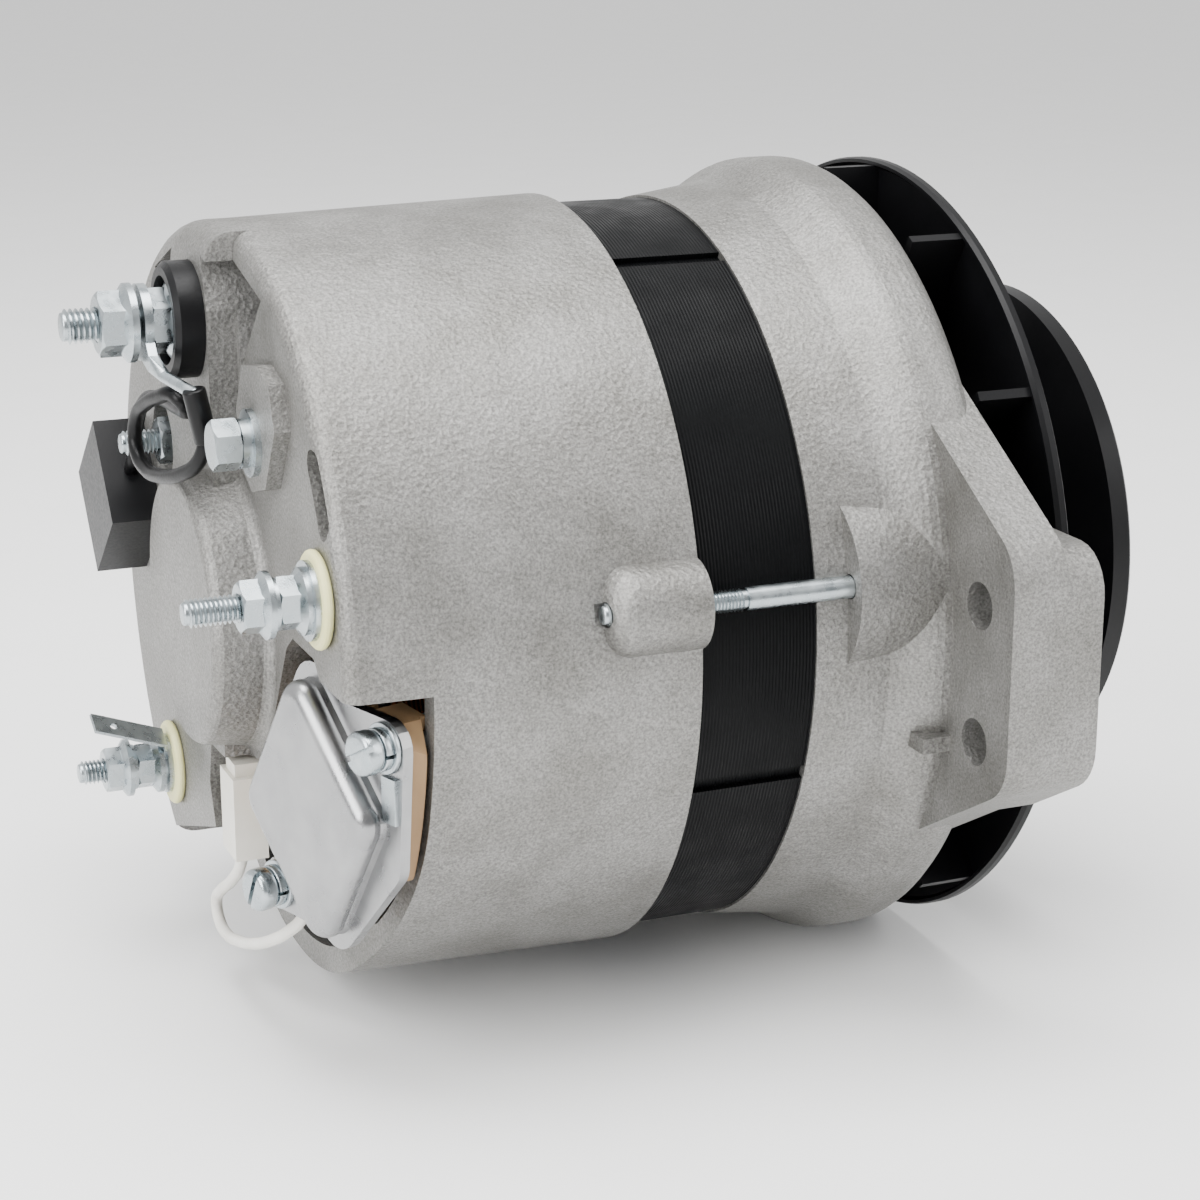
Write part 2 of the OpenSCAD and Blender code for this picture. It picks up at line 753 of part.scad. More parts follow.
module inner_race(d, od, x0, w) {
    b = ball_rad(d, od);
    race(ball_mid(d, od) - b * 0.55, d / 2 + seat_gap, x0 + free_gap, x0 + w - free_gap,
        ball_mid(d, od), b + seat_gap);
}

module balls(d, od, x0, w) {
    for (i = [0:ball_count - 1]) at_polar(ball_mid(d, od), i * 360 / ball_count)
        translate([x0 + w / 2, 0, 0]) sphere(r = ball_rad(d, od), $fn = small_fn);
}

module front_bearing_outer_race() {
    color(zinc) row() outer_race(front_brg_d, front_brg_od, front_brg_x0, front_brg_w);
}

module front_bearing_inner_race() {
    color(zinc) row() inner_race(front_brg_d, front_brg_od, front_brg_x0, front_brg_w);
}

module front_bearing_balls() {
    color(zinc) row() balls(front_brg_d, front_brg_od, front_brg_x0, front_brg_w);
}

module rear_bearing_outer_race() {
    color(zinc) row() outer_race(rear_brg_d, rear_brg_od, rear_brg_x0, rear_brg_w);
}

module rear_bearing_inner_race() {
    color(zinc) row() inner_race(rear_brg_d, rear_brg_od, rear_brg_x0, rear_brg_w);
}

module rear_bearing_balls() {
    color(zinc) row() balls(rear_brg_d, rear_brg_od, rear_brg_x0, rear_brg_w);
}

retainer_t = 3;
retainer_angles = [0, 90, 180, 270];
retainer_screw_r = (front_brg_od / 2 + front_boss_r) / 2;

module bearing_retainer() {
    color(zinc) row() difference() {
        ring(front_boss_r - 0.5, front_brg_od / 2 - 5, front_brg_x0 - retainer_t, front_brg_x0);
        for (a = retainer_angles) at_polar(retainer_screw_r, a)
            rod(2 + bolt_gap, front_brg_x0 - retainer_t - past, front_brg_x0 + past);
    }
}

module retainer_screws() {
    reach = 10;
    head_r = 3.4;
    head_h = 2.6;
    color(zinc) row() for (a = retainer_angles) at_polar(retainer_screw_r, a) {
        rod(2, front_brg_x0 - retainer_t, front_brg_x0 + reach);
        rod(head_r, front_brg_x0 - retainer_t - head_h, front_brg_x0 - retainer_t);
    }
}

// Regulator, drawn flat with its face towards +Z and then leaned into the notch

module regulator_frame() {
    translate(reg_at) rotate([0, 0, reg_tilt]) rotate([90, 0, -90]) children();
}

// Diamond with rounded corners and its half sizes w and h
module diamond(w, h, r, t) {
    for (p = [[w - r, 0], [0, h - r], [r - w, 0], [0, r - h]]) translate([p[0], p[1], 0])
        cylinder(r = r, h = t, $fn = 32);
}

function rolled(p) = [p[0] * cos(reg_roll) - p[1] * sin(reg_roll),
    p[0] * sin(reg_roll) + p[1] * cos(reg_roll)];

// Flange with an ear round each screw, one of them part of its straight right side
module flange_outline() {
    r = cover_corner + 1;
    ear_r = 6;
    top = rolled([0, cover_half_h + flange_w - r]);
    left = rolled([r - cover_half_w - flange_w, 0]);
    p = reg_screws[0];
    q = reg_screws[1];
    polygon(concat(arc([20.5, -6], 6.5, -42, -4.5), arc(p, ear_r, -4.5, 90), [[6.2, p[1] + ear_r]],
        arc(top, r, 45, 149), arc(left, r, 149, 225), [[-14, q[1] + ear_r]], arc(q, ear_r, 90, 270),
        [[-2.4, q[1] - ear_r]], arc(-top, r, 228, 318)));
}

module regulator_cover() {
    sunk = flange_t / 2;
    color([0.8, 0.8, 0.8]) row() regulator_frame() {
        difference() {
            translate([0, 0, -flange_t]) linear_extrude(flange_t) flange_outline();
            for (p = reg_screws) translate([p[0], p[1], -flange_t - past])
                cylinder(r = 2 + bolt_gap, h = flange_t + 2 * past, $fn = small_fn);
        }
        rotate([0, 0, reg_roll]) translate([0, 0, -sunk]) hull() {
            diamond(cover_half_w, cover_half_h, cover_corner, sunk);
            diamond(cover_half_w - 1, cover_half_h - 1, cover_corner - 1, sunk + cover_h * 0.6);
            diamond(cover_half_w - 2, cover_half_h - 2, cover_corner - 2, sunk + cover_h * 0.85);
            diamond(cover_half_w - 3.6, cover_half_h - 4, cover_corner - 3, sunk + cover_h);
        }
    }
}

// Each screw has a flat washer, a spring washer and a round head
module regulator_screws() {
    flat_r = 5.6;
    flat_t = 1.2;
    spring_r = 4.6;
    spring_t = 1.8;
    head_r = 4.8;
    head_h = 4.6;
    depth = flange_t + holder_t + 12;
    color(zinc) row() regulator_frame() for (p = reg_screws) translate([p[0], p[1], 0]) {
        cylinder(r = flat_r, h = flat_t, $fn = small_fn);
        translate([0, 0, flat_t]) cylinder(r = spring_r, h = spring_t, $fn = small_fn);
        translate([0, 0, flat_t + spring_t]) cylinder(r = head_r, h = head_h, $fn = small_fn);
        translate([0, 0, -depth]) cylinder(r = 2, h = depth + flat_t, $fn = small_fn);
    }
}

// Earthing tab that lies beside the cover
module regulator_tab() {
    corner = [22.4, 3.4, 0];
    tab = [4.6, 10, 1];
    color([0.55, 0.56, 0.57]) row() regulator_frame() translate(corner) cube(tab);
}

module brush_holder() {
    holder_x0 = -ring_x - ring_w / 2 - 2;
    holder_x1 = holder_x0 + ring_pitch + ring_w + 4;
    box_half = brush_d / 2 + 2.5;
    color([0.66, 0.52, 0.38]) row() difference() {
        union() {
            intersection() {
                regulator_frame() translate([0, 0, -flange_t - holder_t]) linear_extrude(holder_t)
                    polygon([[-20, -2], [-13, -15], [-20, -18], [-24, -22], [-24, -27], [-22, -30],
                        [-15, -30], [-10, -26], [-5, -19], [4, -17], [26, -12], [28.5, 18],
                        [25, 24.5], [16, 25.5], [-6, 12], [-18, 4]]);
                union() {
                    rod(cup_r - 1 - free_gap * 2, boss_x, 0, round_fn);
                    rod(rear_end_r - 1, boss_x, -notch_x - 1, round_fn);
                }
            }
            translate([holder_x0, -60, -41.5]) cube([8, 54, 22]);
            translate([holder_x0, -box_half, cap_wall_z - 3])
                cube([holder_x1 - holder_x0, 2 * box_half, brush_z - 2.5 - cap_wall_z + 3]);
            translate([connector_x1, -50, -46]) cube([3, 44, 8]);
        }
        for (x = [-ring_x, -ring_x + ring_pitch])
            translate([x - brush_w / 2 - brush_gap, -brush_d / 2 - brush_gap, cap_wall_z])
                cube([brush_w + 2 * brush_gap, brush_d + 2 * brush_gap, brush_len + spring_len + past]);
        for (p = reg_screws) regulator_frame() translate([p[0], p[1], -30])
            cylinder(r = 2 + bolt_gap, h = 30, $fn = small_fn);
    }
}

// White plug that hangs beside the regulator
connector_x0 = -84;
connector_x1 = -76.2;
connector_w = 12;
connector_y = -15.5;

module regulator_connector() {
    color([0.9, 0.9, 0.86]) row() {
        translate([connector_x0, connector_y, -58])
            cube([connector_x1 - connector_x0, connector_w, 20]);
        translate([connector_x0 + 1, connector_y + 2, -38])
            cube([connector_x1 - connector_x0 - 1, connector_w - 4, 3]);
    }
}

// Brushes and their springs

module brush(x) {
    color([0.25, 0.24, 0.24]) row() difference() {
        translate([x - brush_w / 2, -brush_d / 2, brush_z - brush_len])
            cube([brush_w, brush_d, brush_len + 3]);
        rod(ring_r + 0.08, -ring_x - ring_w, -ring_x + ring_pitch + ring_w, round_fn);
    }
}

module spring(x) {
    turns = 6;
    step = spring_len / turns;
    wire = step * 0.42;
    color(zinc) row() translate([x, 0, cap_wall_z]) rotate_extrude($fn = small_fn)
        polygon(concat([[spring_r - wire, 0]], [for (i = [0:turns - 1]) each
            [[spring_r, step * i], [spring_r, step * (i + 0.5)], [spring_r - wire / 2, step * (i + 0.75)]]],
            [[spring_r, spring_len], [spring_r - wire, spring_len]]));
}

module rear_brush() { brush(-ring_x); }

module front_brush() { brush(-ring_x + ring_pitch); }

module rear_brush_spring() { spring(-ring_x); }

module front_brush_spring() { spring(-ring_x + ring_pitch); }

// Capacitor

module capacitor() {
    color(black) row() at_yz(cap_at) difference() {
        translate([pad_x - cap_h, 0, 0]) rotate([cap_turn, 0, 0])
            translate([0, -cap_side / 2, -cap_side / 2]) cube([cap_h, cap_side, cap_side]);
        rod(2 + seat_gap, pad_x - cap_h + 4, pad_x + past);
    }
}

module capacitor_screw() {
    color(zinc) row() at_yz(cap_at) {
        rod(2, pad_x - cap_h + 5, floor_x + past);
        rod(4, floor_x, floor_x + 3);
    }
}

// Output terminal

module output_collar() {
    color(black) row() at_yz(bplus_at) difference() {
        union() {
            turned([[pad_x, 0], [pad_x, collar_r], [pad_x - collar_h + 1.2, collar_r],
                [pad_x - collar_h, collar_r - 1.2], [pad_x - collar_h, 0]], small_fn);
            rod(bplus_d / 2 + 2.5, pad_x - past, floor_x);
            rod(bplus_d / 2 + 7, floor_x, pos_sink_x);
        }
        rod(bplus_d / 2 + seat_gap, pad_x - collar_h - past, pos_sink_x + past);
        rod(10, pad_x - collar_h - past, pad_x - collar_h + collar_recess);
    }
}

collar_seat_x = pad_x - collar_h + collar_recess;
inner_nut_h = 7;
outer_nut_h = 8;
inner_nut_x = collar_seat_x - inner_nut_h;
outer_nut_x = inner_nut_x - lug_t - outer_nut_h - 1.2;

module output_stud() {
    color(zinc) row() at_yz(bplus_at) {
        rod(bplus_d / 2, -bplus_tip, outer_nut_x - run_out);
        rod(bplus_d / 2 - thread_gap, outer_nut_x - run_out - past, pos_sink_x + sink_t + past);
        rod(bplus_d / 2 + 4.5, pos_sink_x + sink_t, pos_sink_x + sink_t + 5);
    }
}

module output_nuts() {
    color(zinc) row() at_yz(bplus_at) {
        flange_nut(13, bplus_d, inner_nut_x, collar_seat_x, 8.9, 1.5);
        flange_nut(13, bplus_d, outer_nut_x, outer_nut_x + outer_nut_h, 8.9, 1.5);
    }
}

// Ring terminal on the output stud with the barrel that grips the capacitor's lead
barrel_r = 2;
tongue_mid = [-94.6, -11.5, 56.5];
barrel_top = [-90.5, -22, 54.2];
barrel_foot = [-88.5, -21.5, 44.5];

module between(p, q, r) {
    v = q - p;
    len = norm(v);
    translate(p) rotate([0, acos(v[2] / len), atan2(v[1], v[0])]) cylinder(r = r, h = len, $fn = small_fn);
}

module ring_terminal() {
    x1 = inner_nut_x;
    x0 = x1 - lug_t;
    color(zinc) row() {
        difference() {
            union() {
                at_yz(bplus_at) rod(8.6, x0, x1);
                hull() {
                    at_yz(bplus_at + [-3, -4]) rod(4, x0, x1, 32);
                    at_yz(bplus_at + [-9, -7.5]) rod(2, x0, x1, 32);
                }
                hull() {
                    at_yz(bplus_at + [-9, -7.5]) rod(2, x0, x1, 32);
                    translate(tongue_mid) sphere(r = 1.4, $fn = 32);
                }
                hull() {
                    translate(tongue_mid) sphere(r = 1.4, $fn = 32);
                    translate(barrel_top) sphere(r = 1.4, $fn = 32);
                }
            }
            at_yz(bplus_at) rod(bplus_d / 2 + seat_gap, x0 - past, x1 + past);
        }
        between(barrel_top, barrel_foot, barrel_r);
    }
}

// Stud that feeds the capacitor's side of the rectifier
strap_nut_h = 5;
strap_bore_r = 10;
strap_seat = pad_x + 5;

module strap_stud() {
    color(zinc) row() at_yz(strap_at) {
        rod(small_stud_d / 2, pad_x - 10.5, pos_sink_x + sink_t + past);
        rod(small_stud_d / 2 + 3.5, pos_sink_x + sink_t, pos_sink_x + sink_t + 4);
    }
}

module strap_stud_nut() {
    color(zinc) row() at_yz(strap_at) {
        flange_nut(small_nut_af, small_stud_d, strap_seat - 1.5 - strap_nut_h, strap_seat - 1.5, 0, 0);
        ring(8, small_stud_d / 2 + seat_gap, strap_seat - 1.5, strap_seat, small_fn);
    }
}

// Small insulated terminals

inner_disc_r = small_stud_d / 2 + 3.6;
washer_t = 1.2;

module small_insulator(seat_x) {
    edge = disc_t / 2;
    difference() {
        union() {
            turned(concat([[seat_x, 0]], arc([seat_x - edge, disc_r - edge], edge, 0, 180),
                [[seat_x - disc_t, 0]]), small_fn);
            rod(small_stud_d / 2 + 2, seat_x - disc_t / 2, floor_x);
            rod(inner_disc_r, floor_x, floor_x + 2.5);
        }
        rod(small_stud_d / 2 + seat_gap, seat_x - disc_t - past, floor_x + 2.5 + past);
    }
}

// Stud from its tip to the inner clamp disc, smaller where the nuts hold it
module small_stud(tip, nut_x) {
    rod(small_stud_d / 2, -tip, nut_x - run_out);
    rod(small_stud_d / 2 - thread_gap, nut_x - run_out - past, floor_x + 3);
    rod(small_stud_d / 2 + 2, floor_x + 2.5, floor_x + 5.5);
}

// Station of the outer end of the outer nut, above a seat and a terminal of thickness t
function nut_end(seat_x, t) = seat_x - disc_t - 2 * washer_t - t - 2 * small_nut_h;

module small_nuts(seat_x, t, washer_r) {
    x1 = seat_x - disc_t;
    x2 = x1 - washer_t - t;
    x3 = x2 - small_nut_h;
    ring(washer_r, small_stud_d / 2 + seat_gap, x1 - washer_t, x1, small_fn);
    flange_nut(small_nut_af, small_stud_d, x3, x2, small_flange_r, 1.2);
    ring(5.6, small_stud_d / 2 + seat_gap, x3 - washer_t, x3, small_fn);
    flange_nut(small_nut_af, small_stud_d, x3 - washer_t - small_nut_h, x3 - washer_t,
        small_flange_r, 1.2);
}

dplus_seat = rear_x;
w_seat = pad_x;
blade_t_metal = 0.8;

module dplus_insulator() { color([0.82, 0.83, 0.45]) row() at_yz(dplus_at) small_insulator(dplus_seat); }

module dplus_stud() { color(zinc) row() at_yz(dplus_at) small_stud(dplus_tip, nut_end(dplus_seat, 0)); }

module dplus_nuts() { color(zinc) row() at_yz(dplus_at) small_nuts(dplus_seat, 0, 8.4); }

module w_insulator() { color([0.82, 0.83, 0.55]) row() at_yz(w_at) small_insulator(w_seat); }

module w_stud() { color(zinc) row() at_yz(w_at) small_stud(w_tip, nut_end(w_seat, blade_t_metal)); }

module w_nuts() { color(zinc) row() at_yz(w_at) small_nuts(w_seat, blade_t_metal, 7.4); }

// Bent flat terminal held under the inner nut of the short stud
tab_w = 6.3;
tab_rise = 8.6;
tab_bend = 66;
tab_len = 19.5;
tab_lean = 25;

module blade_terminal() {
    x1 = w_seat - disc_t - washer_t;
    half = blade_t_metal / 2;
    bend = [x1 - half, tab_rise];
    along = [-sin(tab_bend), cos(tab_bend)];
    across = [cos(tab_bend), sin(tab_bend)];
    miter = half * sin(tab_bend) / (1 + cos(tab_bend));
    tip = bend + tab_len * along;
    hole = bend + (tab_len - 5.5) * along;
    color(zinc) row() at_yz(w_at) rotate([tab_lean, 0, 0]) difference() {
        union() {
            rod(5.2, x1 - blade_t_metal, x1);
            translate([0, tab_w / 2, 0]) rotate([90, 0, 0]) linear_extrude(tab_w)
                polygon([[x1, 0], [x1, tab_rise + miter], tip + half * across, tip - half * across,
                    [x1 - blade_t_metal, tab_rise - miter], [x1 - blade_t_metal, 0]]);
        }
        rod(small_stud_d / 2 + seat_gap, x1 - 3, x1 + past);
        translate([hole[0], 0, hole[1]]) rotate([0, 90 - tab_bend, 0])
            cylinder(r = 1, h = 2, $fn = small_fn, center = true);
    }
}

module ground_screw() {
    seat = rear_x - ground_h;
    color(zinc) row() at_yz(ground_at) {
        rod(small_stud_d / 2, seat - 4, floor_x);
        rod(7.4, seat - 1.4, seat);
        rod(5.4, seat - 3.4, seat - 1.4);
        hex_rod(small_nut_af, seat - 9.4, seat - 3.4);
    }
}

// Leads held at both ends, swept along points chosen by hand

cap_lead_r = 1.7;
cap_lead = [barrel_foot, [-89, -21.5, 41.5], [-90.2, -19, 37.8], [-92, -13.5, 34.8], [-93.2, -8, 33],
    [-94.2, 0, 31.5], [-95, 9, 31], [-95.6, 15.5, 33.5], [-95.6, 17.5, 37.5], [-95.2, 15.5, 42.5],
    [-94.4, 9, 46.5], [-93, 1, 49.5], [-91.5, -4, 50.8], [-89.8, -6.5, 49.3], [-88.2, -3.5, 46.8],
    [-87.5, 6, 45.3], [-87.4, 18, 44.6], [-87.5, 30, 43.3], [-88, 40, 40.5], [-88.8, 45.5, 34.5],
    [-89.6, 46, 28.5], [-90, 47.4, 24], [-90, 50.2, 21.7]];
reg_lead_r = 1.4;
reg_lead = [[-81, -9.5, -58], [-81.2, -8, -62], [-82, -2, -68], [-83, 5, -73], [-83, 10, -78],
    [-83, 8, -81.5], [-83, 0, -82.5], [-83, -10, -80], [-82.5, -22, -76], [-81, -33, -71],
    [-78.5, -39.5, -66.5], [-76, -41.6, -63], [-75.2, -41.6, -59.5]];

function unit(v) = v / norm(v);
function smooth_at(p, i, t) = let (n = len(p) - 1, a = p[max(i - 1, 0)], b = p[i],
    c = p[min(i + 1, n)], d = p[min(i + 2, n)])
    0.5 * (2 * b + (c - a) * t + (2 * a - 5 * b + 4 * c - d) * t * t
        + (3 * b - a - 3 * c + d) * t * t * t);
function route(p, n) = concat([for (i = [0:len(p) - 2]) each
    [for (k = [0:n - 1]) smooth_at(p, i, k / n)]], [p[len(p) - 1]]);
function tangent(q, i) = unit(q[min(i + 1, len(q) - 1)] - q[max(i - 1, 0)]);

module cord(points, r, sides = 8, n = 2, up = [1, 0, 0]) {
    q = route(points, n);
    rings = [for (i = [0:len(q) - 1]) let (t = tangent(q, i), u = unit(cross(t, up)), v = cross(t, u))
        [for (k = [0:sides - 1]) q[i] + r * (cos(360 * k / sides) * u + sin(360 * k / sides) * v)]];
    m = len(q);
    polyhedron(points = [for (g = rings) each g], faces = concat(
        [[for (k = [0:sides - 1]) k]],
        [for (i = [0:m - 2]) for (k = [0:sides - 1]) let (a = i * sides + k,
            b = i * sides + (k + 1) % sides) [a, a + sides, b + sides, b]],
        [[for (k = [sides - 1:-1:0]) (m - 1) * sides + k]]));
}

module capacitor_lead() { color(black) row() cord(cap_lead, cap_lead_r); }

module regulator_lead() { color([0.9, 0.9, 0.88]) row() cord(reg_lead, reg_lead_r); }

// Rotor

module rotor_shaft() {
    thread_x0 = nut_seat_x - 4;
    color(zinc) row() difference() {
        union() {
            rod(rear_brg_d / 2, rear_brg_x0 + 0.5, hub_x1, small_fn);
            rod(11, hub_x1, stack_x0 - 4);
            rod(shaft_d / 2, stack_x0 - 4, stack_x1 + 8);
            rod(front_brg_d / 2, stack_x1 + 8, fan_x - 6);
            rod(nose_r, fan_x - 6, thread_x0);
            rod(nose_thread_d / 2, thread_x0, nut_seat_x + nose_nut_h + 3);
        }
        translate([key_x, -key_w / 2, nose_r - key_h / 2]) cube([key_len, key_w, key_h]);
    }
}

module claw(len) {
    half = len / 2;
    disc_len = pole_disc;
    intersection() {
        turned([[0, rotor_r - claw_root_t], [0, rotor_r - 1.5], [1.5, rotor_r], [len - 1, rotor_r],
            [len, rotor_r - 1], [len, rotor_r - claw_tip_t], [disc_len, rotor_r - claw_root_t]]);
        rotate([90, 0, 0]) linear_extrude(rotor_r + past)
            polygon([[0, -claw_root_w / 2], [disc_len, -claw_root_w / 2], [len, -claw_tip_w / 2],
                [len, claw_tip_w / 2], [disc_len, claw_root_w / 2], [0, claw_root_w / 2]]);
    }
    translate([0, -(rotor_r - claw_root_t / 2), -claw_root_w / 2])
        cube([disc_len, claw_root_t, claw_root_w * 0.02]);
}

module claw_pole(core_len) {
    len = stack_x1 - stack_x0;
    difference() {
        union() {
            intersection() {
                rod(rotor_r - 1.5, 0, pole_disc, round_fn);
                union() {
                    rod(coil_r + 1, 0, pole_disc, round_fn);
                    for (i = [0:claw_count - 1]) around(i * 360 / claw_count)
                        translate([0, -rotor_r, -claw_root_w / 2]) cube([pole_disc, rotor_r, claw_root_w]);
                }
            }
            for (i = [0:claw_count - 1]) around(i * 360 / claw_count) claw(len);
            rod(core_r, 0, pole_disc + core_len, round_fn);
        }
        rod(shaft_d / 2 + seat_gap, -past, len + past, round_fn);
    }
}

coil_len = stack_x1 - stack_x0 - 2 * pole_disc;

module rear_claw_pole() {
    color([0.35, 0.35, 0.36]) row() translate([stack_x0, 0, 0]) claw_pole(coil_len / 2);
}

module front_claw_pole() {
    color([0.35, 0.35, 0.36]) row() translate([stack_x1, 0, 0]) around(180 / claw_count)
        mirror([1, 0, 0]) claw_pole(coil_len / 2);
}

module coil_bobbin() {
    x0 = stack_x0 + pole_disc;
    x1 = stack_x1 - pole_disc;
    color([0.85, 0.83, 0.72]) row() difference() {
        turned([[x0, core_r + seat_gap], [x0, coil_r], [x0 + bobbin_t, coil_r],
            [x0 + bobbin_t, core_r + bobbin_t + seat_gap], [x1 - bobbin_t, core_r + bobbin_t + seat_gap],
            [x1 - bobbin_t, coil_r], [x1, coil_r], [x1, core_r + seat_gap]]);
    }
}

module field_coil() {
    x0 = stack_x0 + pole_disc + bobbin_t;
    x1 = stack_x1 - pole_disc - bobbin_t;
    color(copper) row() ring(coil_r - 0.8, core_r + bobbin_t + 2 * seat_gap, x0, x1);
}

hub_x0 = -ring_x - ring_w / 2 - 2;
hub_x1 = -ring_x + ring_pitch + ring_w / 2 + 4;
ring_wall = 2.5;

module slip_ring_hub() {
    r = ring_r - ring_wall - seat_gap;
    color([0.45, 0.25, 0.15]) row() difference() {
        union() {
            rod(r, hub_x0, hub_x1, round_fn);
            rod(ring_r - 0.6, -ring_x + ring_w / 2, -ring_x + ring_pitch - ring_w / 2, round_fn);
        }
        rod(rear_brg_d / 2 + seat_gap, hub_x0 - past, hub_x1 + past, round_fn);
    }
}

module slip_rings() {
    color(copper) row() for (x = [-ring_x, -ring_x + ring_pitch])
        ring(ring_r, ring_r - ring_wall, x - ring_w / 2, x + ring_w / 2);
}

// Fan and pulley

module fan() {
    tip_r = fan_r - 1.3;
    root_r = front_boss_r + 5;
    color(black) row() difference() {
        union() {
            turned([[fan_x, 0], [fan_x, fan_r - 2], [fan_x - 1.2, fan_r - 1.2], [fan_x - 1.2, fan_r - 0.4],
                [fan_x, fan_r], [fan_x + fan_t - 1, fan_r], [fan_x + fan_t, fan_r - 1.5],
                [fan_x + fan_t, 0]]);
            rod(nose_r + 12, fan_x - 6, fan_x + fan_t, round_fn);
            for (i = [0:blade_count - 1]) around(blade_phase + i * 360 / blade_count)
                translate([0, 0, -blade_t / 2]) linear_extrude(blade_t)
                    polygon([[fan_x + 1, -root_r], [fan_x - blade_len * 0.4, -root_r],
                        [fan_x - blade_len, -root_r - 12], [fan_x - blade_len, -tip_r],
                        [fan_x + 1, -tip_r]]);
        }
        rod(nose_r + seat_gap, fan_x - 7, fan_x + fan_t + past, round_fn);
    }
}

// One half of the pulley, drawn behind the middle of the groove
module pulley_half(hub_len) {
    rim_half = pulley_w / 2;
    inner_r = groove_foot_r - pulley_under;
    difference() {
        turned([[0, 0], [0, groove_foot_r], [-groove_foot_w / 2, groove_foot_r],
            [-groove_w / 2, pulley_r], [-rim_half + 0.8, pulley_r], [-rim_half, pulley_r - 0.8],
            [-rim_half, inner_r + 2], [-rim_half + 2, inner_r], [-pulley_web, inner_r],
            [-pulley_web, hub_r], [-hub_len, hub_r], [-hub_len, 0]]);
        rod(nose_r + seat_gap, -hub_len - past, past, round_fn);
    }
}

key_w = 5;
key_h = 6;
key_len = 14;
key_x = groove_x - 13;

module key_way() {
    translate([key_x - seat_gap, -key_w / 2 - seat_gap, 0])
        cube([key_len + 2 * seat_gap, key_w + 2 * seat_gap, nose_r + key_h / 2 + free_gap]);
}

module pulley_rear_half() {
    color(black) row() difference() {
        translate([groove_x, 0, 0]) pulley_half(groove_x - fan_x - fan_t);
        key_way();
    }
}

module pulley_front_half() {
    color(black) row() difference() {
        translate([groove_x, 0, 0]) mirror([1, 0, 0]) pulley_half(hub_front);
        key_way();
    }
}

module pulley_key() {
    color(zinc) row() translate([key_x, -key_w / 2, nose_r - key_h / 2]) cube([key_len, key_w, key_h]);
}

module spring_washer() {
    color(zinc) row() ring(nose_nut_af * 0.52, nose_r + seat_gap, groove_x + hub_front, nut_seat_x, small_fn);
}

module pulley_nut() {
    color(zinc) row() flange_nut(nose_nut_af, nose_thread_d, nut_seat_x, nut_seat_x + nose_nut_h, 0, 0);
}

rear_housing();
drive_end_bracket();
stator_core();
stator_winding();
through_bolts();
positive_heat_sink();
negative_heat_sink();
rectifier_diodes();
rectifier_screws();
front_bearing_outer_race();
rear_bearing_outer_race();
bearing_retainer();
retainer_screws();
brush_holder();
regulator_cover();
regulator_screws();
regulator_tab();
regulator_connector();
regulator_lead();
capacitor();
capacitor_screw();
capacitor_lead();
output_collar();
output_stud();
output_nuts();
ring_terminal();
strap_stud();
strap_stud_nut();
dplus_insulator();
dplus_stud();
dplus_nuts();
w_insulator();
w_stud();
w_nuts();
blade_terminal();
ground_screw();
rotor_shaft();
rear_claw_pole();
front_claw_pole();
field_coil();
coil_bobbin();
slip_ring_hub();
slip_rings();
front_bearing_inner_race();
rear_bearing_inner_race();
front_bearing_balls();
rear_bearing_balls();
fan();
pulley_rear_half();
pulley_front_half();
pulley_key();
spring_washer();
pulley_nut();
rear_brush();
front_brush();
rear_brush_spring();
front_brush_spring();
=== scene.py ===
# %% [markdown]
# # An alternator in cast aluminium, black laminations and zinc-plated steel
# The solids of this machine were drawn in CAD and come in as a fixed frame. This lesson gives each
# of them the finish of the real one, and models what a plain solid leaves out: screw threads, slotted
# heads, a rounded sheet can, a sleeve and two smooth leads. The first cell loads the frame and notes
# its box.

import bpy
import math
from mathutils import Matrix, Vector


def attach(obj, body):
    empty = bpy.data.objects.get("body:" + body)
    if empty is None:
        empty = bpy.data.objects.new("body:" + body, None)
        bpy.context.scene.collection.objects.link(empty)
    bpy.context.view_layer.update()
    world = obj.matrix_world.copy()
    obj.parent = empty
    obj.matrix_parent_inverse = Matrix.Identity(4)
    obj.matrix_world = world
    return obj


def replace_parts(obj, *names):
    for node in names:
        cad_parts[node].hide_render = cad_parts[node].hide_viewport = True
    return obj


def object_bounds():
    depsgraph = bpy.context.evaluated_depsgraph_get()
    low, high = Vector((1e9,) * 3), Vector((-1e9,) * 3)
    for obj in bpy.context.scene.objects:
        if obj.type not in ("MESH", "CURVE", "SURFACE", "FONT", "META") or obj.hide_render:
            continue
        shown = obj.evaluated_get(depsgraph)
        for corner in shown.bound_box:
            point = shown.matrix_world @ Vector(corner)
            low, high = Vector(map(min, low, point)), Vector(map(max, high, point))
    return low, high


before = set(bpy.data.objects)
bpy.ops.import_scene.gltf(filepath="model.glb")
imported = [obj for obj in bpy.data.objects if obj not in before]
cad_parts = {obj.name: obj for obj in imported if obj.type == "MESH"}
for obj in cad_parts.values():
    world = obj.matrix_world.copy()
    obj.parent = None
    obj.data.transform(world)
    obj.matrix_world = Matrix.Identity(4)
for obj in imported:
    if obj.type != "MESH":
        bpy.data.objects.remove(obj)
cad_box = [list(corner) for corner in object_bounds()]
RIM = -0.114
MM = 0.001


def spot(station, y, z):
    """A point from its station behind or before the rear housing's rim, and its Y and Z, in mm."""
    return Vector((RIM + station * MM, y * MM, z * MM))


print("CAD nodes:", len(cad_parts), "box:", cad_box)

# %% [markdown]
# ## Camera
# The photograph was taken from behind and a little above, with a long lens, so the body hardly
# tapers. The camera stands 0.63 m away, looks down by 16 degrees and keeps its horizon level.
# A 78 mm lens on a 36 mm sensor gives the same narrow angle as the photograph.

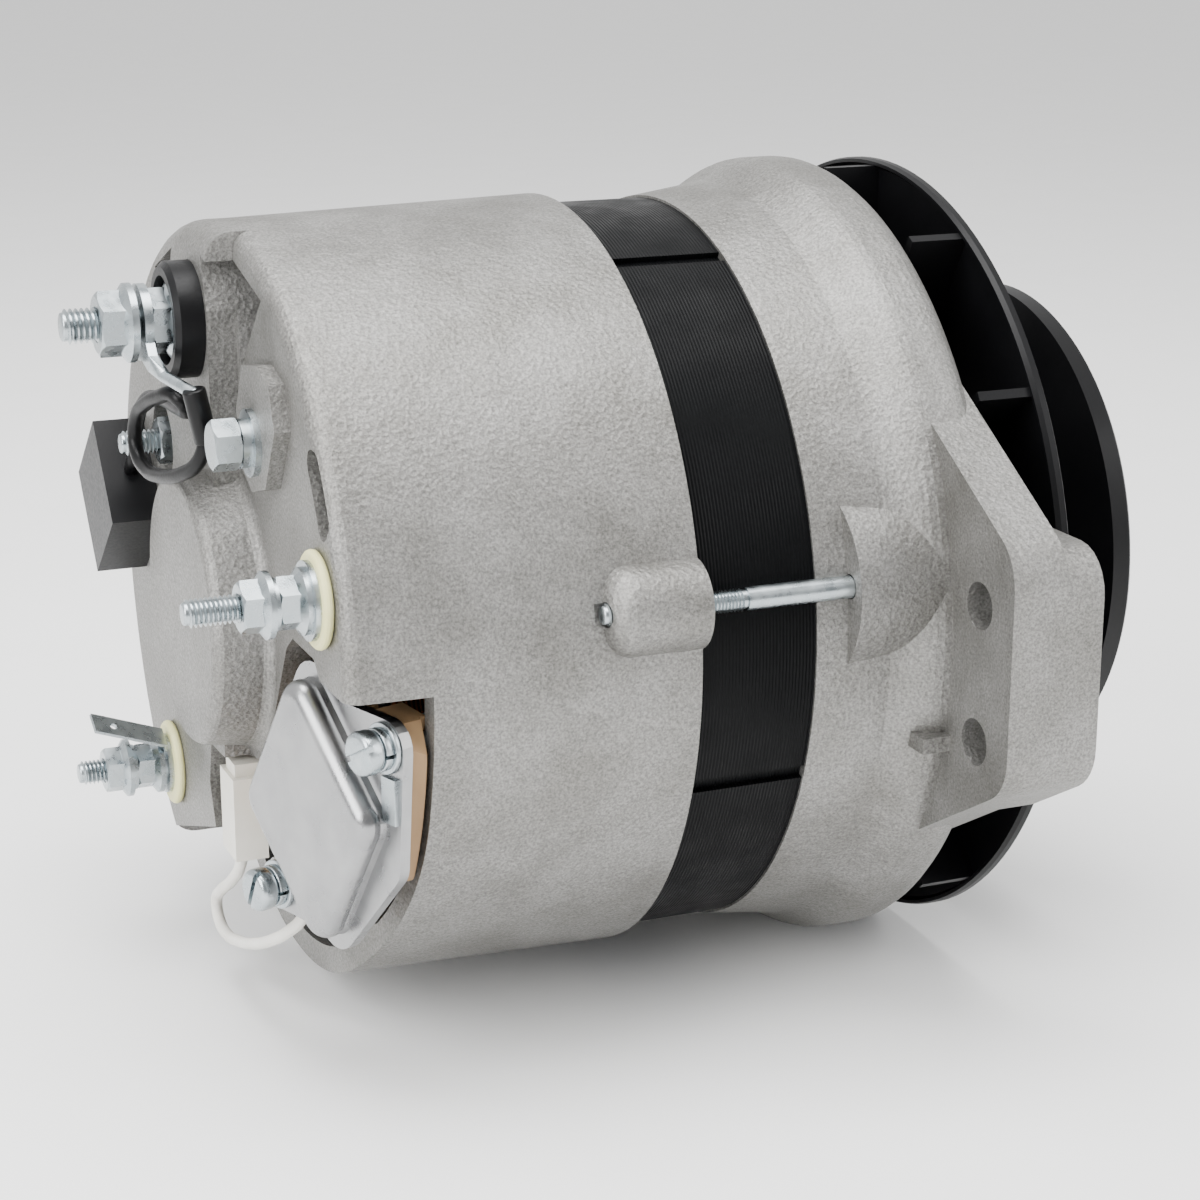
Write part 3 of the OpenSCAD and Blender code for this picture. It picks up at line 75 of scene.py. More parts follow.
# %% Camera
eye = Vector((-0.33441, -0.56706, 0.16809))
target = Vector((-0.10325, -0.00680, -0.00748))
camera_data = bpy.data.cameras.new("photo_camera")
camera_data.lens = 78
camera_data.sensor_width = 36
camera_data.clip_start = 0.02
camera_data.clip_end = 60
camera = bpy.data.objects.new("photo_camera", camera_data)
camera.location = eye
camera.rotation_euler = (target - eye).to_track_quat("-Z", "Y").to_euler()
bpy.context.scene.collection.objects.link(camera)
bpy.context.scene.camera = camera
print("camera distance in metres:", round((target - eye).length, 3))

# %% [markdown]
# ## Colour and node helpers
# Colours are written as the sRGB hex values that a picture editor shows, and one function turns
# them to the linear values that shaders use. A second function adds a shader node, sets it and
# links it, so that each finish below reads as a short list of steps.

# %% Helpers for finishes
def shade(code):
    """sRGB hex colour to linear RGBA."""
    parts = [int(code[i:i + 2], 16) / 255 for i in (1, 3, 5)]
    return tuple(p / 12.92 if p <= 0.04045 else ((p + 0.055) / 1.055) ** 2.4 for p in parts) + (1.0,)


def put(tree, kind, inputs=None, **settings):
    """Adds a shader node, sets its settings, and links or sets its inputs."""
    node = tree.nodes.new("ShaderNode" + kind)
    for name, value in settings.items():
        setattr(node, name, value)
    for key, value in (inputs or {}).items():
        if isinstance(value, bpy.types.NodeSocket):
            tree.links.new(value, node.inputs[key])
        else:
            node.inputs[key].default_value = value
    return node


def new_finish(name, **constants):
    """A material with its shader's constants set, its tree, its shader and object coordinates."""
    material = bpy.data.materials.new(name)
    material.use_nodes = True
    tree = material.node_tree
    shader = tree.nodes["Principled BSDF"]
    for key, value in constants.items():
        shader.inputs[key.replace("_", " ")].default_value = value
    place = put(tree, "TexCoord").outputs["Object"]
    return material, tree, shader, place


def size(mm):
    """Noise scale whose grains are about so many millimetres wide."""
    return 1 / (mm * MM)


def bands(mm):
    """Wave scale whose bands repeat every so many millimetres."""
    return 2 * math.pi / (20 * mm * MM)


# %% [markdown]
# ## Cast aluminium
# The two housings are die-cast aluminium that was blasted with fine grit. Blasting leaves a matt,
# pale grey skin: it is metal, but its reflections are spread wide by grains of a few tenths of a
# millimetre. They are drawn at 0.6 mm so that they show at this distance. Slow, larger
# clouds stand for the uneven flow marks of the die.

# %% Cast aluminium
blasted_casting, tree, shader, place = new_finish("blasted_die_cast_aluminium", Metallic=0.85)
grit = put(tree, "TexNoise", {"Vector": place, "Scale": size(0.6), "Detail": 4, "Roughness": 0.7})
flow = put(tree, "TexNoise", {"Vector": place, "Scale": size(22), "Detail": 5, "Roughness": 0.6})
pits = put(tree, "TexVoronoi", {"Vector": place, "Scale": size(1.3)})
speck = put(tree, "MapRange", {"Value": grit.outputs["Fac"], 1: 0.36, 2: 0.64, 3: 0.0, 4: 1.0})
cloud = put(tree, "MapRange", {"Value": flow.outputs["Fac"], 1: 0.32, 2: 0.68, 3: 0.0, 4: 1.0})
grains = put(tree, "Mix", {0: speck.outputs[0], 6: shade("#757472"), 7: shade("#A09F9C")},
             data_type="RGBA")
stain = put(tree, "Mix", {0: cloud.outputs[0], 6: shade("#D6D5D2"), 7: shade("#FFFFFF")},
            data_type="RGBA")
skin = put(tree, "Mix", {0: 1.0, 6: grains.outputs[2], 7: stain.outputs[2]},
           data_type="RGBA", blend_type="MULTIPLY")
tree.links.new(skin.outputs[2], shader.inputs["Base Color"])
rough = put(tree, "MapRange", {"Value": flow.outputs["Fac"], 1: 0.3, 2: 0.7, 3: 0.44, 4: 0.56})
tree.links.new(rough.outputs[0], shader.inputs["Roughness"])
relief = put(tree, "Math", {0: grit.outputs["Fac"], 1: pits.outputs["Distance"]}, operation="ADD")
bump = put(tree, "Bump", {"Strength": 0.6, "Distance": 0.00025, "Height": relief.outputs[0]})
tree.links.new(bump.outputs[0], shader.inputs["Normal"])
print("finish:", blasted_casting.name)

# %% [markdown]
# ## Varnished laminations
# The stator is a pack of thin steel sheets, pressed together, turned round and dipped in black
# varnish. The sheets still show as fine lines round the band, about half a millimetre apart. They
# are drawn at 0.8 mm. Varnish isn't metal: it is black, with a clear, slightly wavy gloss.

# %% Varnished laminations
varnished_sheets, tree, shader, place = new_finish("varnished_steel_laminations", Metallic=0.0,
                                                   Specular_IOR_Level=0.06,
                                                   Coat_Weight=0.02, Coat_Roughness=0.25)
sheets = put(tree, "TexWave", {"Vector": place, "Scale": bands(0.8), "Distortion": 0.4},
             bands_direction="X")
runs = put(tree, "TexNoise", {"Vector": place, "Scale": size(9), "Detail": 4})
dust = put(tree, "TexNoise", {"Vector": place, "Scale": size(0.9), "Detail": 3})
tone = put(tree, "Mix", {0: dust.outputs["Fac"], 6: shade("#030304"), 7: shade("#0C0D0E")},
           data_type="RGBA")
tree.links.new(tone.outputs[2], shader.inputs["Base Color"])
rough = put(tree, "MapRange", {"Value": runs.outputs["Fac"], 1: 0.3, 2: 0.7, 3: 0.30, 4: 0.5})
tree.links.new(rough.outputs[0], shader.inputs["Roughness"])
relief = put(tree, "Math", {0: sheets.outputs["Fac"], 1: runs.outputs["Fac"]}, operation="ADD")
bump = put(tree, "Bump", {"Strength": 0.6, "Distance": 0.0002, "Height": relief.outputs[0]})
tree.links.new(bump.outputs[0], shader.inputs["Normal"])
print("finish:", varnished_sheets.name)

# %% [markdown]
# ## Zinc-plated and ground steel
# Nuts, studs, bolts and washers are steel with a thin, bluish zinc coat. It is metal, bright but
# not a mirror, with small changes in gloss from handling. The shaft and the bearings are ground
# steel, brighter and smoother, with faint turning rings.

# %% Zinc-plated steel
zinc_plate, tree, shader, place = new_finish("zinc_plated_steel", Metallic=1.0)
handling = put(tree, "TexNoise", {"Vector": place, "Scale": size(3), "Detail": 4})
tint = put(tree, "Mix", {0: handling.outputs["Fac"], 6: shade("#8E989D"), 7: shade("#C3C9CB")},
           data_type="RGBA")
tree.links.new(tint.outputs[2], shader.inputs["Base Color"])
rough = put(tree, "MapRange", {"Value": handling.outputs["Fac"], 1: 0.3, 2: 0.7, 3: 0.20, 4: 0.38})
tree.links.new(rough.outputs[0], shader.inputs["Roughness"])
fine = put(tree, "TexNoise", {"Vector": place, "Scale": size(0.5), "Detail": 2})
bump = put(tree, "Bump", {"Strength": 0.12, "Distance": 0.0001, "Height": fine.outputs["Fac"]})
tree.links.new(bump.outputs[0], shader.inputs["Normal"])

ground_steel, tree, shader, place = new_finish("ground_bearing_steel", Metallic=1.0)
turning = put(tree, "TexWave", {"Vector": place, "Scale": bands(0.7)}, bands_direction="X")
tint = put(tree, "Mix", {0: turning.outputs["Fac"], 6: shade("#A9ACAE"), 7: shade("#C6C8C9")},
           data_type="RGBA")
tree.links.new(tint.outputs[2], shader.inputs["Base Color"])
rough = put(tree, "MapRange", {"Value": turning.outputs["Fac"], 1: 0, 2: 1, 3: 0.16, 4: 0.28})
tree.links.new(rough.outputs[0], shader.inputs["Roughness"])
print("finishes:", zinc_plate.name, ground_steel.name)

# %% [markdown]
# ## Pressed aluminium
# The regulator's cover and the rectifier's heat sinks are pressed from aluminium sheet. Sheet is
# smoother than a casting, with a soft satin shine and hair-fine rolling lines.

# %% Pressed aluminium
satin_sheet, tree, shader, place = new_finish("satin_pressed_aluminium", Metallic=1.0)
stretch = put(tree, "Mapping", {"Vector": place, "Scale": (1.0, 1.0, 0.12)})
rolling = put(tree, "TexNoise", {"Vector": stretch.outputs[0], "Scale": size(0.4), "Detail": 3})
wear = put(tree, "TexNoise", {"Vector": place, "Scale": size(11), "Detail": 5})
tint = put(tree, "Mix", {0: wear.outputs["Fac"], 6: shade("#7C7D7F"), 7: shade("#B4B4B4")},
           data_type="RGBA")
tree.links.new(tint.outputs[2], shader.inputs["Base Color"])
rough = put(tree, "MapRange", {"Value": wear.outputs["Fac"], 1: 0.3, 2: 0.7, 3: 0.22, 4: 0.40})
tree.links.new(rough.outputs[0], shader.inputs["Roughness"])
bump = put(tree, "Bump", {"Strength": 0.25, "Distance": 0.0001, "Height": rolling.outputs["Fac"]})
tree.links.new(bump.outputs[0], shader.inputs["Normal"])
print("finish:", satin_sheet.name)

# %% [markdown]
# ## Black enamel
# The fan and the pulley are pressed steel under black stove enamel. Enamel is a thick paint that
# flows before it hardens, so its gloss is soft and a little wavy, like the skin of an orange.

# %% Black enamel
stove_enamel, tree, shader, place = new_finish("black_stove_enamel", Metallic=0.0,
                                               Specular_IOR_Level=0.16,
                                               Coat_Weight=0.05, Coat_Roughness=0.2)
peel = put(tree, "TexNoise", {"Vector": place, "Scale": size(1.6), "Detail": 2})
dust = put(tree, "TexNoise", {"Vector": place, "Scale": size(26), "Detail": 5})
tint = put(tree, "Mix", {0: dust.outputs["Fac"], 6: shade("#040405"), 7: shade("#0C0C0E")},
           data_type="RGBA")
tree.links.new(tint.outputs[2], shader.inputs["Base Color"])
rough = put(tree, "MapRange", {"Value": dust.outputs["Fac"], 1: 0.3, 2: 0.7, 3: 0.36, 4: 0.5})
tree.links.new(rough.outputs[0], shader.inputs["Roughness"])
bump = put(tree, "Bump", {"Strength": 0.2, "Distance": 0.0001, "Height": peel.outputs["Fac"]})
tree.links.new(bump.outputs[0], shader.inputs["Normal"])
print("finish:", stove_enamel.name)

# %% [markdown]
# ## Moulded plastics and rubber
# Plastics here are the brown phenolic of the brush holder, black and yellow moulded insulators, a
# white nylon plug, and the soft sleeves of the two leads. They share one recipe, a fine spark-eroded
# mould grain, with their own colours, gloss and grain.

# %% Moulded plastics and rubber
def moulded(name, dark, light, gloss, grain_mm, cloud_mm):
    """A moulded plastic with fine grain and a slow change of tone."""
    material, tree, shader, place = new_finish(name, Metallic=0.0, Specular_IOR_Level=0.2)
    grain = put(tree, "TexNoise", {"Vector": place, "Scale": size(grain_mm), "Detail": 3})
    tone = put(tree, "TexNoise", {"Vector": place, "Scale": size(cloud_mm), "Detail": 4})
    tint = put(tree, "Mix", {0: tone.outputs["Fac"], 6: shade(dark), 7: shade(light)},
               data_type="RGBA")
    tree.links.new(tint.outputs[2], shader.inputs["Base Color"])
    rough = put(tree, "MapRange", {"Value": grain.outputs["Fac"], 1: 0.3, 2: 0.7,
                                   3: gloss - 0.06, 4: gloss + 0.06})
    tree.links.new(rough.outputs[0], shader.inputs["Roughness"])
    bump = put(tree, "Bump", {"Strength": 0.2, "Distance": 0.00008, "Height": grain.outputs["Fac"]})
    tree.links.new(bump.outputs[0], shader.inputs["Normal"])
    print("finish:", name)
    return material


brown_phenolic = moulded("brown_phenolic_resin", "#8C6F50", "#A98B68", 0.5, 0.8, 12)
black_nylon = moulded("black_moulded_nylon", "#050506", "#0E0E10", 0.4, 0.7, 15)
yellow_insulator = moulded("yellow_moulded_insulator", "#CFCB86", "#E4E1B0", 0.45, 0.6, 6)
white_nylon = moulded("white_moulded_nylon", "#CFCBC0", "#E6E3DA", 0.42, 0.6, 10)
black_sleeve = moulded("black_lead_sleeve", "#040405", "#0B0B0C", 0.36, 0.5, 8)
white_sleeve = moulded("white_silicone_sleeve", "#CFCCC4", "#E9E7E1", 0.4, 0.5, 8)
bobbin_resin = moulded("cream_bobbin_resin", "#A89667", "#C2B284", 0.5, 0.7, 9)
carbon = moulded("pressed_graphite_carbon", "#202022", "#303033", 0.6, 0.4, 5)

# %% [markdown]
# ## Copper and iron
# The windings are copper wire under clear, orange-brown enamel: the wires lie side by side, about
# a millimetre apart, and show as ridges. The slip rings are bare polished copper, and the claw
# poles are forged iron under a thin dark varnish.

# %% Copper and iron
enamelled_wire, tree, shader, place = new_finish("enamelled_copper_wire", Metallic=0.75,
                                                 Coat_Weight=0.6, Coat_Roughness=0.2)
wires = put(tree, "TexWave", {"Vector": place, "Scale": bands(1.2), "Distortion": 3.0,
                              "Detail": 2, "Detail Scale": 0.6}, bands_direction="X")
tint = put(tree, "Mix", {0: wires.outputs["Fac"], 6: shade("#5E2C14"), 7: shade("#B4683A")},
           data_type="RGBA")
tree.links.new(tint.outputs[2], shader.inputs["Base Color"])
shader.inputs["Roughness"].default_value = 0.35
bump = put(tree, "Bump", {"Strength": 0.8, "Distance": 0.0004, "Height": wires.outputs["Fac"]})
tree.links.new(bump.outputs[0], shader.inputs["Normal"])

bare_copper, tree, shader, place = new_finish("polished_bare_copper", Metallic=1.0)
track = put(tree, "TexWave", {"Vector": place, "Scale": bands(0.5)}, bands_direction="X")
tint = put(tree, "Mix", {0: track.outputs["Fac"], 6: shade("#B36A42"), 7: shade("#D08E63")},
           data_type="RGBA")
tree.links.new(tint.outputs[2], shader.inputs["Base Color"])
shader.inputs["Roughness"].default_value = 0.25

forged_iron, tree, shader, place = new_finish("varnished_forged_iron", Metallic=0.6)
scale_skin = put(tree, "TexNoise", {"Vector": place, "Scale": size(2.5), "Detail": 5})
tint = put(tree, "Mix", {0: scale_skin.outputs["Fac"], 6: shade("#1E1E20"), 7: shade("#47474A")},
           data_type="RGBA")
tree.links.new(tint.outputs[2], shader.inputs["Base Color"])
shader.inputs["Roughness"].default_value = 0.5
bump = put(tree, "Bump", {"Strength": 0.3, "Distance": 0.0002, "Height": scale_skin.outputs["Fac"]})
tree.links.new(bump.outputs[0], shader.inputs["Normal"])
print("finishes:", enamelled_wire.name, bare_copper.name, forged_iron.name)

# %% [markdown]
# ## Which node gets which finish
# The CAD nodes keep their shapes. Each one only has its material swapped, by the finish that its
# real counterpart has.

# %% Dress the CAD nodes
dressing = {
    blasted_casting: ["rear_housing", "drive_end_bracket"],
    varnished_sheets: ["stator_core"],
    enamelled_wire: ["stator_winding", "field_coil"],
    zinc_plate: ["through_bolts", "rectifier_diodes", "rectifier_screws", "bearing_retainer",
                 "retainer_screws", "regulator_screws", "regulator_tab", "capacitor_screw",
                 "output_stud", "output_nuts", "ring_terminal", "strap_stud", "strap_stud_nut",
                 "dplus_stud", "dplus_nuts", "w_stud", "w_nuts", "blade_terminal", "ground_screw",
                 "pulley_key", "spring_washer", "pulley_nut", "rear_brush_spring",
                 "front_brush_spring"],
    ground_steel: ["front_bearing_outer_race", "rear_bearing_outer_race", "rotor_shaft",
                   "front_bearing_inner_race", "rear_bearing_inner_race", "front_bearing_balls",
                   "rear_bearing_balls"],
    satin_sheet: ["positive_heat_sink", "negative_heat_sink", "regulator_cover"],
    stove_enamel: ["fan", "pulley_rear_half", "pulley_front_half"],
    brown_phenolic: ["brush_holder", "slip_ring_hub"],
    black_nylon: ["output_collar", "capacitor"],
    yellow_insulator: ["dplus_insulator", "w_insulator"],
    white_nylon: ["regulator_connector"],
    white_sleeve: ["regulator_lead"],
    black_sleeve: ["capacitor_lead"],
    bobbin_resin: ["coil_bobbin"],
    bare_copper: ["slip_rings"],
    forged_iron: ["rear_claw_pole", "front_claw_pole"],
    carbon: ["rear_brush", "front_brush"],
}
for finish, names in dressing.items():
    for name in names:
        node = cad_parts[name]
        for slot in node.material_slots:
            slot.material = finish
        if not node.material_slots:
            node.data.materials.append(finish)
print("dressed:", sum(len(names) for names in dressing.values()), "of", len(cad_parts))

# %% [markdown]
# ## Helpers for new pieces
# A new piece starts from a primitive at its true size and place. Everything is deselected first,
# because the frame's nodes come in selected. A finished piece has its place in its mesh: its
# transforms are applied, so its object sits at the origin like a CAD node's.

# %% Helpers for new pieces
# A thread's ridge is a triangle whose corners lie this share of a pitch from its middle, so that
# its foot is just under one pitch wide
RIDGE_REACH = 0.566
ALONG_SHAFT = Vector((-1, 0, 0))


def clear():
    """Leaves nothing selected."""
    if bpy.context.object and bpy.context.object.mode != "OBJECT":
        bpy.ops.object.mode_set(mode="OBJECT")
    bpy.ops.object.select_all(action="DESELECT")


def turn_to(direction):
    """Euler angles that point a primitive's Z axis along a direction."""
    return direction.to_track_quat("Z", "Y").to_euler()


def disc(radius, base, direction, height, edge=0.0, sides=48):
    """A closed round bar from base along a direction, its edges bevelled by edge."""
    clear()
    direction = direction.normalized()
    bpy.ops.mesh.primitive_cylinder_add(vertices=sides, radius=radius, depth=height,
                                        location=base + direction * height / 2,
                                        rotation=turn_to(direction))
    piece = bpy.context.object
    if edge:
        bevel = piece.modifiers.new("edge", "BEVEL")
        bevel.width = edge
        bevel.segments = 3
        bevel.limit_method = "ANGLE"
        bpy.ops.object.modifier_apply(modifier="edge")
    bpy.ops.object.transform_apply(location=True, rotation=True, scale=True)
    return piece


def helix(radius, pitch, start, turns, sides=28):
    """A closed V ridge wound round an axis along X, from its start point towards +X."""
    clear()
    reach = RIDGE_REACH * pitch
    bpy.ops.mesh.primitive_circle_add(vertices=3, radius=reach, fill_type="NOTHING",
                                      location=start + Vector((0, radius - reach, 0)))
    ridge = bpy.context.object
    bpy.context.scene.cursor.location = start
    bpy.ops.object.origin_set(type="ORIGIN_CURSOR")
    screw = ridge.modifiers.new("thread", "SCREW")
    screw.axis = "X"
    screw.steps = sides
    screw.render_steps = sides
    screw.screw_offset = pitch
    screw.iterations = turns
    bpy.ops.object.modifier_apply(modifier="thread")
    bpy.ops.object.transform_apply(location=True, rotation=True, scale=True)
    bpy.ops.object.mode_set(mode="EDIT")
    bpy.ops.mesh.select_all(action="SELECT")
    bpy.ops.mesh.fill_holes(sides=4)
    bpy.ops.mesh.normals_make_consistent(inside=False)
    bpy.ops.object.mode_set(mode="OBJECT")
    return ridge


def as_one(name, parts, finish, body):
    """Joins parts to one piece, shades it, gives it its finish and lets it ride on a body."""
    clear()
    for part in parts:
        part.select_set(True)
    bpy.context.view_layer.objects.active = parts[0]
    if len(parts) > 1:
        bpy.ops.object.join()
    piece = bpy.context.object
    bpy.context.scene.cursor.location = (0, 0, 0)
    bpy.ops.object.origin_set(type="ORIGIN_CURSOR")
    bpy.ops.object.shade_smooth_by_angle(angle=math.radians(35))
    piece.name = name
    piece.data.name = name
    piece.data.materials.clear()
    piece.data.materials.append(finish)
    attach(piece, body)
    print(name, "has", len(piece.data.polygons), "faces")
    return piece


# %% [markdown]
# ## Threaded studs and bolts
# A screw thread is a V-shaped ridge that climbs by one pitch in each turn: 1.25 mm on the large
# M8 stud, 1 mm on the M6 ones and 0.8 mm on the M5 case bolts. A texture can't catch light in its
# valleys, so the ridge is modelled: a triangle is swept round the axis by a Screw modifier, on a
# core as thick as the thread's root.

# %% Threaded studs and bolts
# Depth of the thread as a share of its pitch, then its plain ends in mm
ROOT_DEPTH = 0.61
LEAD_IN = 0.9
RUN_OUT = 0.7


def threaded(y, z, radius, pitch, tip, thread_end, rod_end):
    """Parts of a rod along the shaft, threaded from its tip to a station, then plain."""
    root = radius - ROOT_DEPTH * pitch * MM
    turns = int((thread_end - tip - LEAD_IN - RUN_OUT) / pitch)
    return [
        disc(root, spot(rod_end, y, z), ALONG_SHAFT, (rod_end - tip) * MM, edge=0.5 * MM),
        helix(radius, pitch * MM, spot(tip + LEAD_IN, y, z), turns),
        disc(radius, spot(rod_end, y, z), ALONG_SHAFT, (rod_end - thread_end) * MM),
    ]


def head(y, z, radius, station, height):
    """The round head that ends a stud inside the housing."""
    return disc(radius, spot(station + height, y, z), ALONG_SHAFT, height * MM, edge=0.4 * MM)


# Name, Y, Z, thread radius, pitch, tip, thread's end, head's station, head's radius and height
studs = [("output_stud", 3, 66.3, 4, 1.25, -114, -78, -63, 8.5, 5),
         ("dplus_stud", -71.8, 19.9, 3, 1.0, -107, -78, -69.5, 5, 3),
         ("w_stud", 40, -51.4, 3, 1.0, -109, -84, -69.5, 5, 3),
         ("strap_stud", 37.8, 31.1, 3, 1.0, -95, -80, -63, 6.5, 4)]
for name, y, z, radius, pitch, tip, thread_end, seat, head_radius, head_height in studs:
    stud = threaded(y, z, radius * MM, pitch, tip, thread_end, seat)
    stud.append(head(y, z, head_radius * MM, seat, head_height))
    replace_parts(as_one("threaded_" + name, stud, zinc_plate, "housing"), name)

BOLT_CIRCLE = 90.6
bolts = []
for angle in (9.5, 129.5, 249.5):
    y = -BOLT_CIRCLE * math.cos(math.radians(angle))
    z = BOLT_CIRCLE * math.sin(math.radians(angle))
    bolts += threaded(y, z, 2.5 * MM, 0.8, -23, 10, 67) + [head(y, z, 4.7 * MM, 66, 3.5)]
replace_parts(as_one("threaded_case_bolts", bolts, zinc_plate, "housing"),
            "through_bolts")

# %% [markdown]
# ## Regulator's cover and screws
# The regulator sits in its notch at a slant, so its pieces are placed in a frame of their own: U to
# the right, V up and OUT away from the housing. A pressed can has no sharp edge anywhere, because
# sheet only bends round a radius. Four short cones are wrapped in a convex hull, and a bevel rounds
# the upper edge. Each screw has a flat washer, a split spring washer and a round slotted head. The
# can stands a quarter of a millimetre proud of the solid that it covers.

# %% Regulator's cover and screws
LEAN = math.radians(18)
ROLL = math.radians(7)
U = Vector((math.sin(LEAN), -math.cos(LEAN), 0))
V = Vector((0, 0, 1))
OUT = Vector((-math.cos(LEAN), -math.sin(LEAN), 0))
SEAT = spot(-75.4, -61, -29.5)
PROUD = 0.25


def on_regulator(u, v, out):
    """A point of the regulator's own frame, in mm."""
    return SEAT + (U * u + V * v + OUT * out) * MM


def rounded_can(half_w, half_h, corner, height, draft, edge):
    """A closed diamond can with round corners, sides that lean in by draft and a rounded top."""
    posts = []
    for u, v in ((half_w - corner, 0), (0, half_h - corner), (corner - half_w, 0),
                 (0, corner - half_h)):
        turned = (u * math.cos(ROLL) - v * math.sin(ROLL), u * math.sin(ROLL) + v * math.cos(ROLL))
        clear()
        bpy.ops.mesh.primitive_cone_add(vertices=64, radius1=corner * MM,
                                        radius2=(corner - draft) * MM, depth=height * MM,
                                        location=on_regulator(*turned, height / 2),
                                        rotation=turn_to(OUT))
        posts.append(bpy.context.object)
    clear()
    for post in posts:
        post.select_set(True)
    bpy.context.view_layer.objects.active = posts[0]
    bpy.ops.object.join()
    can = bpy.context.object
    bpy.ops.object.transform_apply(location=True, rotation=True, scale=True)
    bpy.ops.object.mode_set(mode="EDIT")
    bpy.ops.mesh.select_all(action="SELECT")
    bpy.ops.mesh.convex_hull()
    bpy.ops.mesh.select_all(action="SELECT")
    bpy.ops.mesh.dissolve_limited(angle_limit=math.radians(1))
    bpy.ops.mesh.normals_make_consistent(inside=False)
    bpy.ops.object.mode_set(mode="OBJECT")
    bevel = can.modifiers.new("rounding", "BEVEL")
    bevel.width = edge * MM
    bevel.segments = 8
    bevel.limit_method = "ANGLE"
    bevel.angle_limit = math.radians(45)
    bpy.ops.object.modifier_apply(modifier="rounding")
    return can


def cut(piece, cutter):
    """Takes the cutter's shape out of a piece and deletes the cutter."""
    clear()
    piece.select_set(True)
    bpy.context.view_layer.objects.active = piece
    groove = piece.modifiers.new("cut", "BOOLEAN")
    groove.operation = "DIFFERENCE"
    groove.solver = "EXACT"
    groove.object = cutter
    bpy.ops.object.modifier_apply(modifier="cut")
    bpy.data.objects.remove(cutter)
    return piece


def bar(centre, direction, turn, dims):
    """A box whose Z axis points along a direction, turned about it, with its dims in mm."""
    clear()
    bpy.ops.mesh.primitive_cube_add(size=1, location=centre, rotation=turn_to(direction))
    box = bpy.context.object
    box.scale = [d * MM for d in dims]
    box.rotation_euler = (box.rotation_euler.to_matrix()
                          @ Matrix.Rotation(turn, 3, "Z")).to_euler()
    bpy.ops.object.transform_apply(location=True, rotation=True, scale=True)
    return box


can = rounded_can(22.8 + PROUD, 28.6 + PROUD, 6 + PROUD, 6 + PROUD, draft=0.7, edge=3.0)
as_one("regulator_can", [can], satin_sheet, "housing")

# Thicknesses of the flat washer, the spring washer and the head, and a hair's breadth, in mm
FLAT = 1.2
SPRING = 1.8
HEAD = 4.55
HAIR = 0.02
screws = []
for u, v, turn in ((23, 19.5, 0.5), (-18.5, -23.5, 1.2)):
    washer = disc(5.6 * MM, on_regulator(u, v, HAIR), OUT, (FLAT - HAIR) * MM, edge=0.25 * MM)
    split = cut(disc(4.7 * MM, on_regulator(u, v, FLAT), OUT, SPRING * MM, edge=0.3 * MM),
                bar(on_regulator(u + 4, v - 0.4, FLAT + SPRING / 2), OUT, 0.0, (3, 0.9, 3)))
    dome = disc(4.8 * MM, on_regulator(u, v, FLAT + SPRING), OUT, HEAD * MM, edge=1.3 * MM)
    top = on_regulator(u, v, FLAT + SPRING + HEAD - 0.25)
    slotted = cut(dome, bar(top, OUT, turn, (12, 1.3, 2.6)))
    shank = disc(2 * MM, on_regulator(u, v, 1), -OUT, 20 * MM)
    screws += [washer, split, slotted, shank]
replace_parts(as_one("slotted_regulator_screws", screws, zinc_plate, "housing"),
            "regulator_screws")

# %% [markdown]
# ## Sleeve over the crimp
# The lead of the capacitor is crimped into the ring terminal's barrel. A soft black sleeve is
# pushed over that joint, and reaches a little past the barrel at both ends.

# %% Sleeve over the crimp
crimp_top = spot(-90.5, -22, 54.2)
crimp_foot = spot(-88.5, -21.5, 44.5)
down = crimp_foot - crimp_top
PAST_TOP = 0.12
PAST_FOOT = 0.14
sleeve = disc(2.6 * MM, crimp_top - down * PAST_TOP, down,
              down.length * (1 + PAST_TOP + PAST_FOOT), edge=0.6 * MM)
as_one("crimp_sleeve", [sleeve], black_sleeve, "housing")

# %% [markdown]
# ## The two leads
# Both leads are fixed at both ends. Each is a round tube along one smooth curve, through points
# that were listed on the CAD's route, given as station, Y and Z in millimetres. The
# handles of a Bezier curve find the bends between those points by themselves.

# %% The two leads
def lead(name, route, radius, finish):
    """A round closed tube of a radius in mm along a smooth curve through the route's points."""
    clear()
    bpy.ops.curve.primitive_bezier_curve_add(location=(0, 0, 0), rotation=(0, 0, 0))
    line = bpy.context.object
    knots = line.data.splines[0].bezier_points
    knots.add(len(route) - len(knots))
    for knot, point in zip(knots, route):
        knot.co = spot(*point)
        knot.handle_left_type = "AUTO"
        knot.handle_right_type = "AUTO"
    line.data.splines[0].resolution_u = 10
    line.data.bevel_depth = radius * MM
    line.data.bevel_resolution = 6
    line.data.use_fill_caps = True
    bpy.ops.object.convert(target="MESH")
    tube = bpy.context.object
    bpy.ops.object.mode_set(mode="EDIT")
    bpy.ops.mesh.select_all(action="SELECT")
    bpy.ops.mesh.remove_doubles(threshold=0.000001)
    bpy.ops.mesh.normals_make_consistent(inside=False)
    bpy.ops.object.mode_set(mode="OBJECT")
    return as_one(name, [tube], finish, "housing")


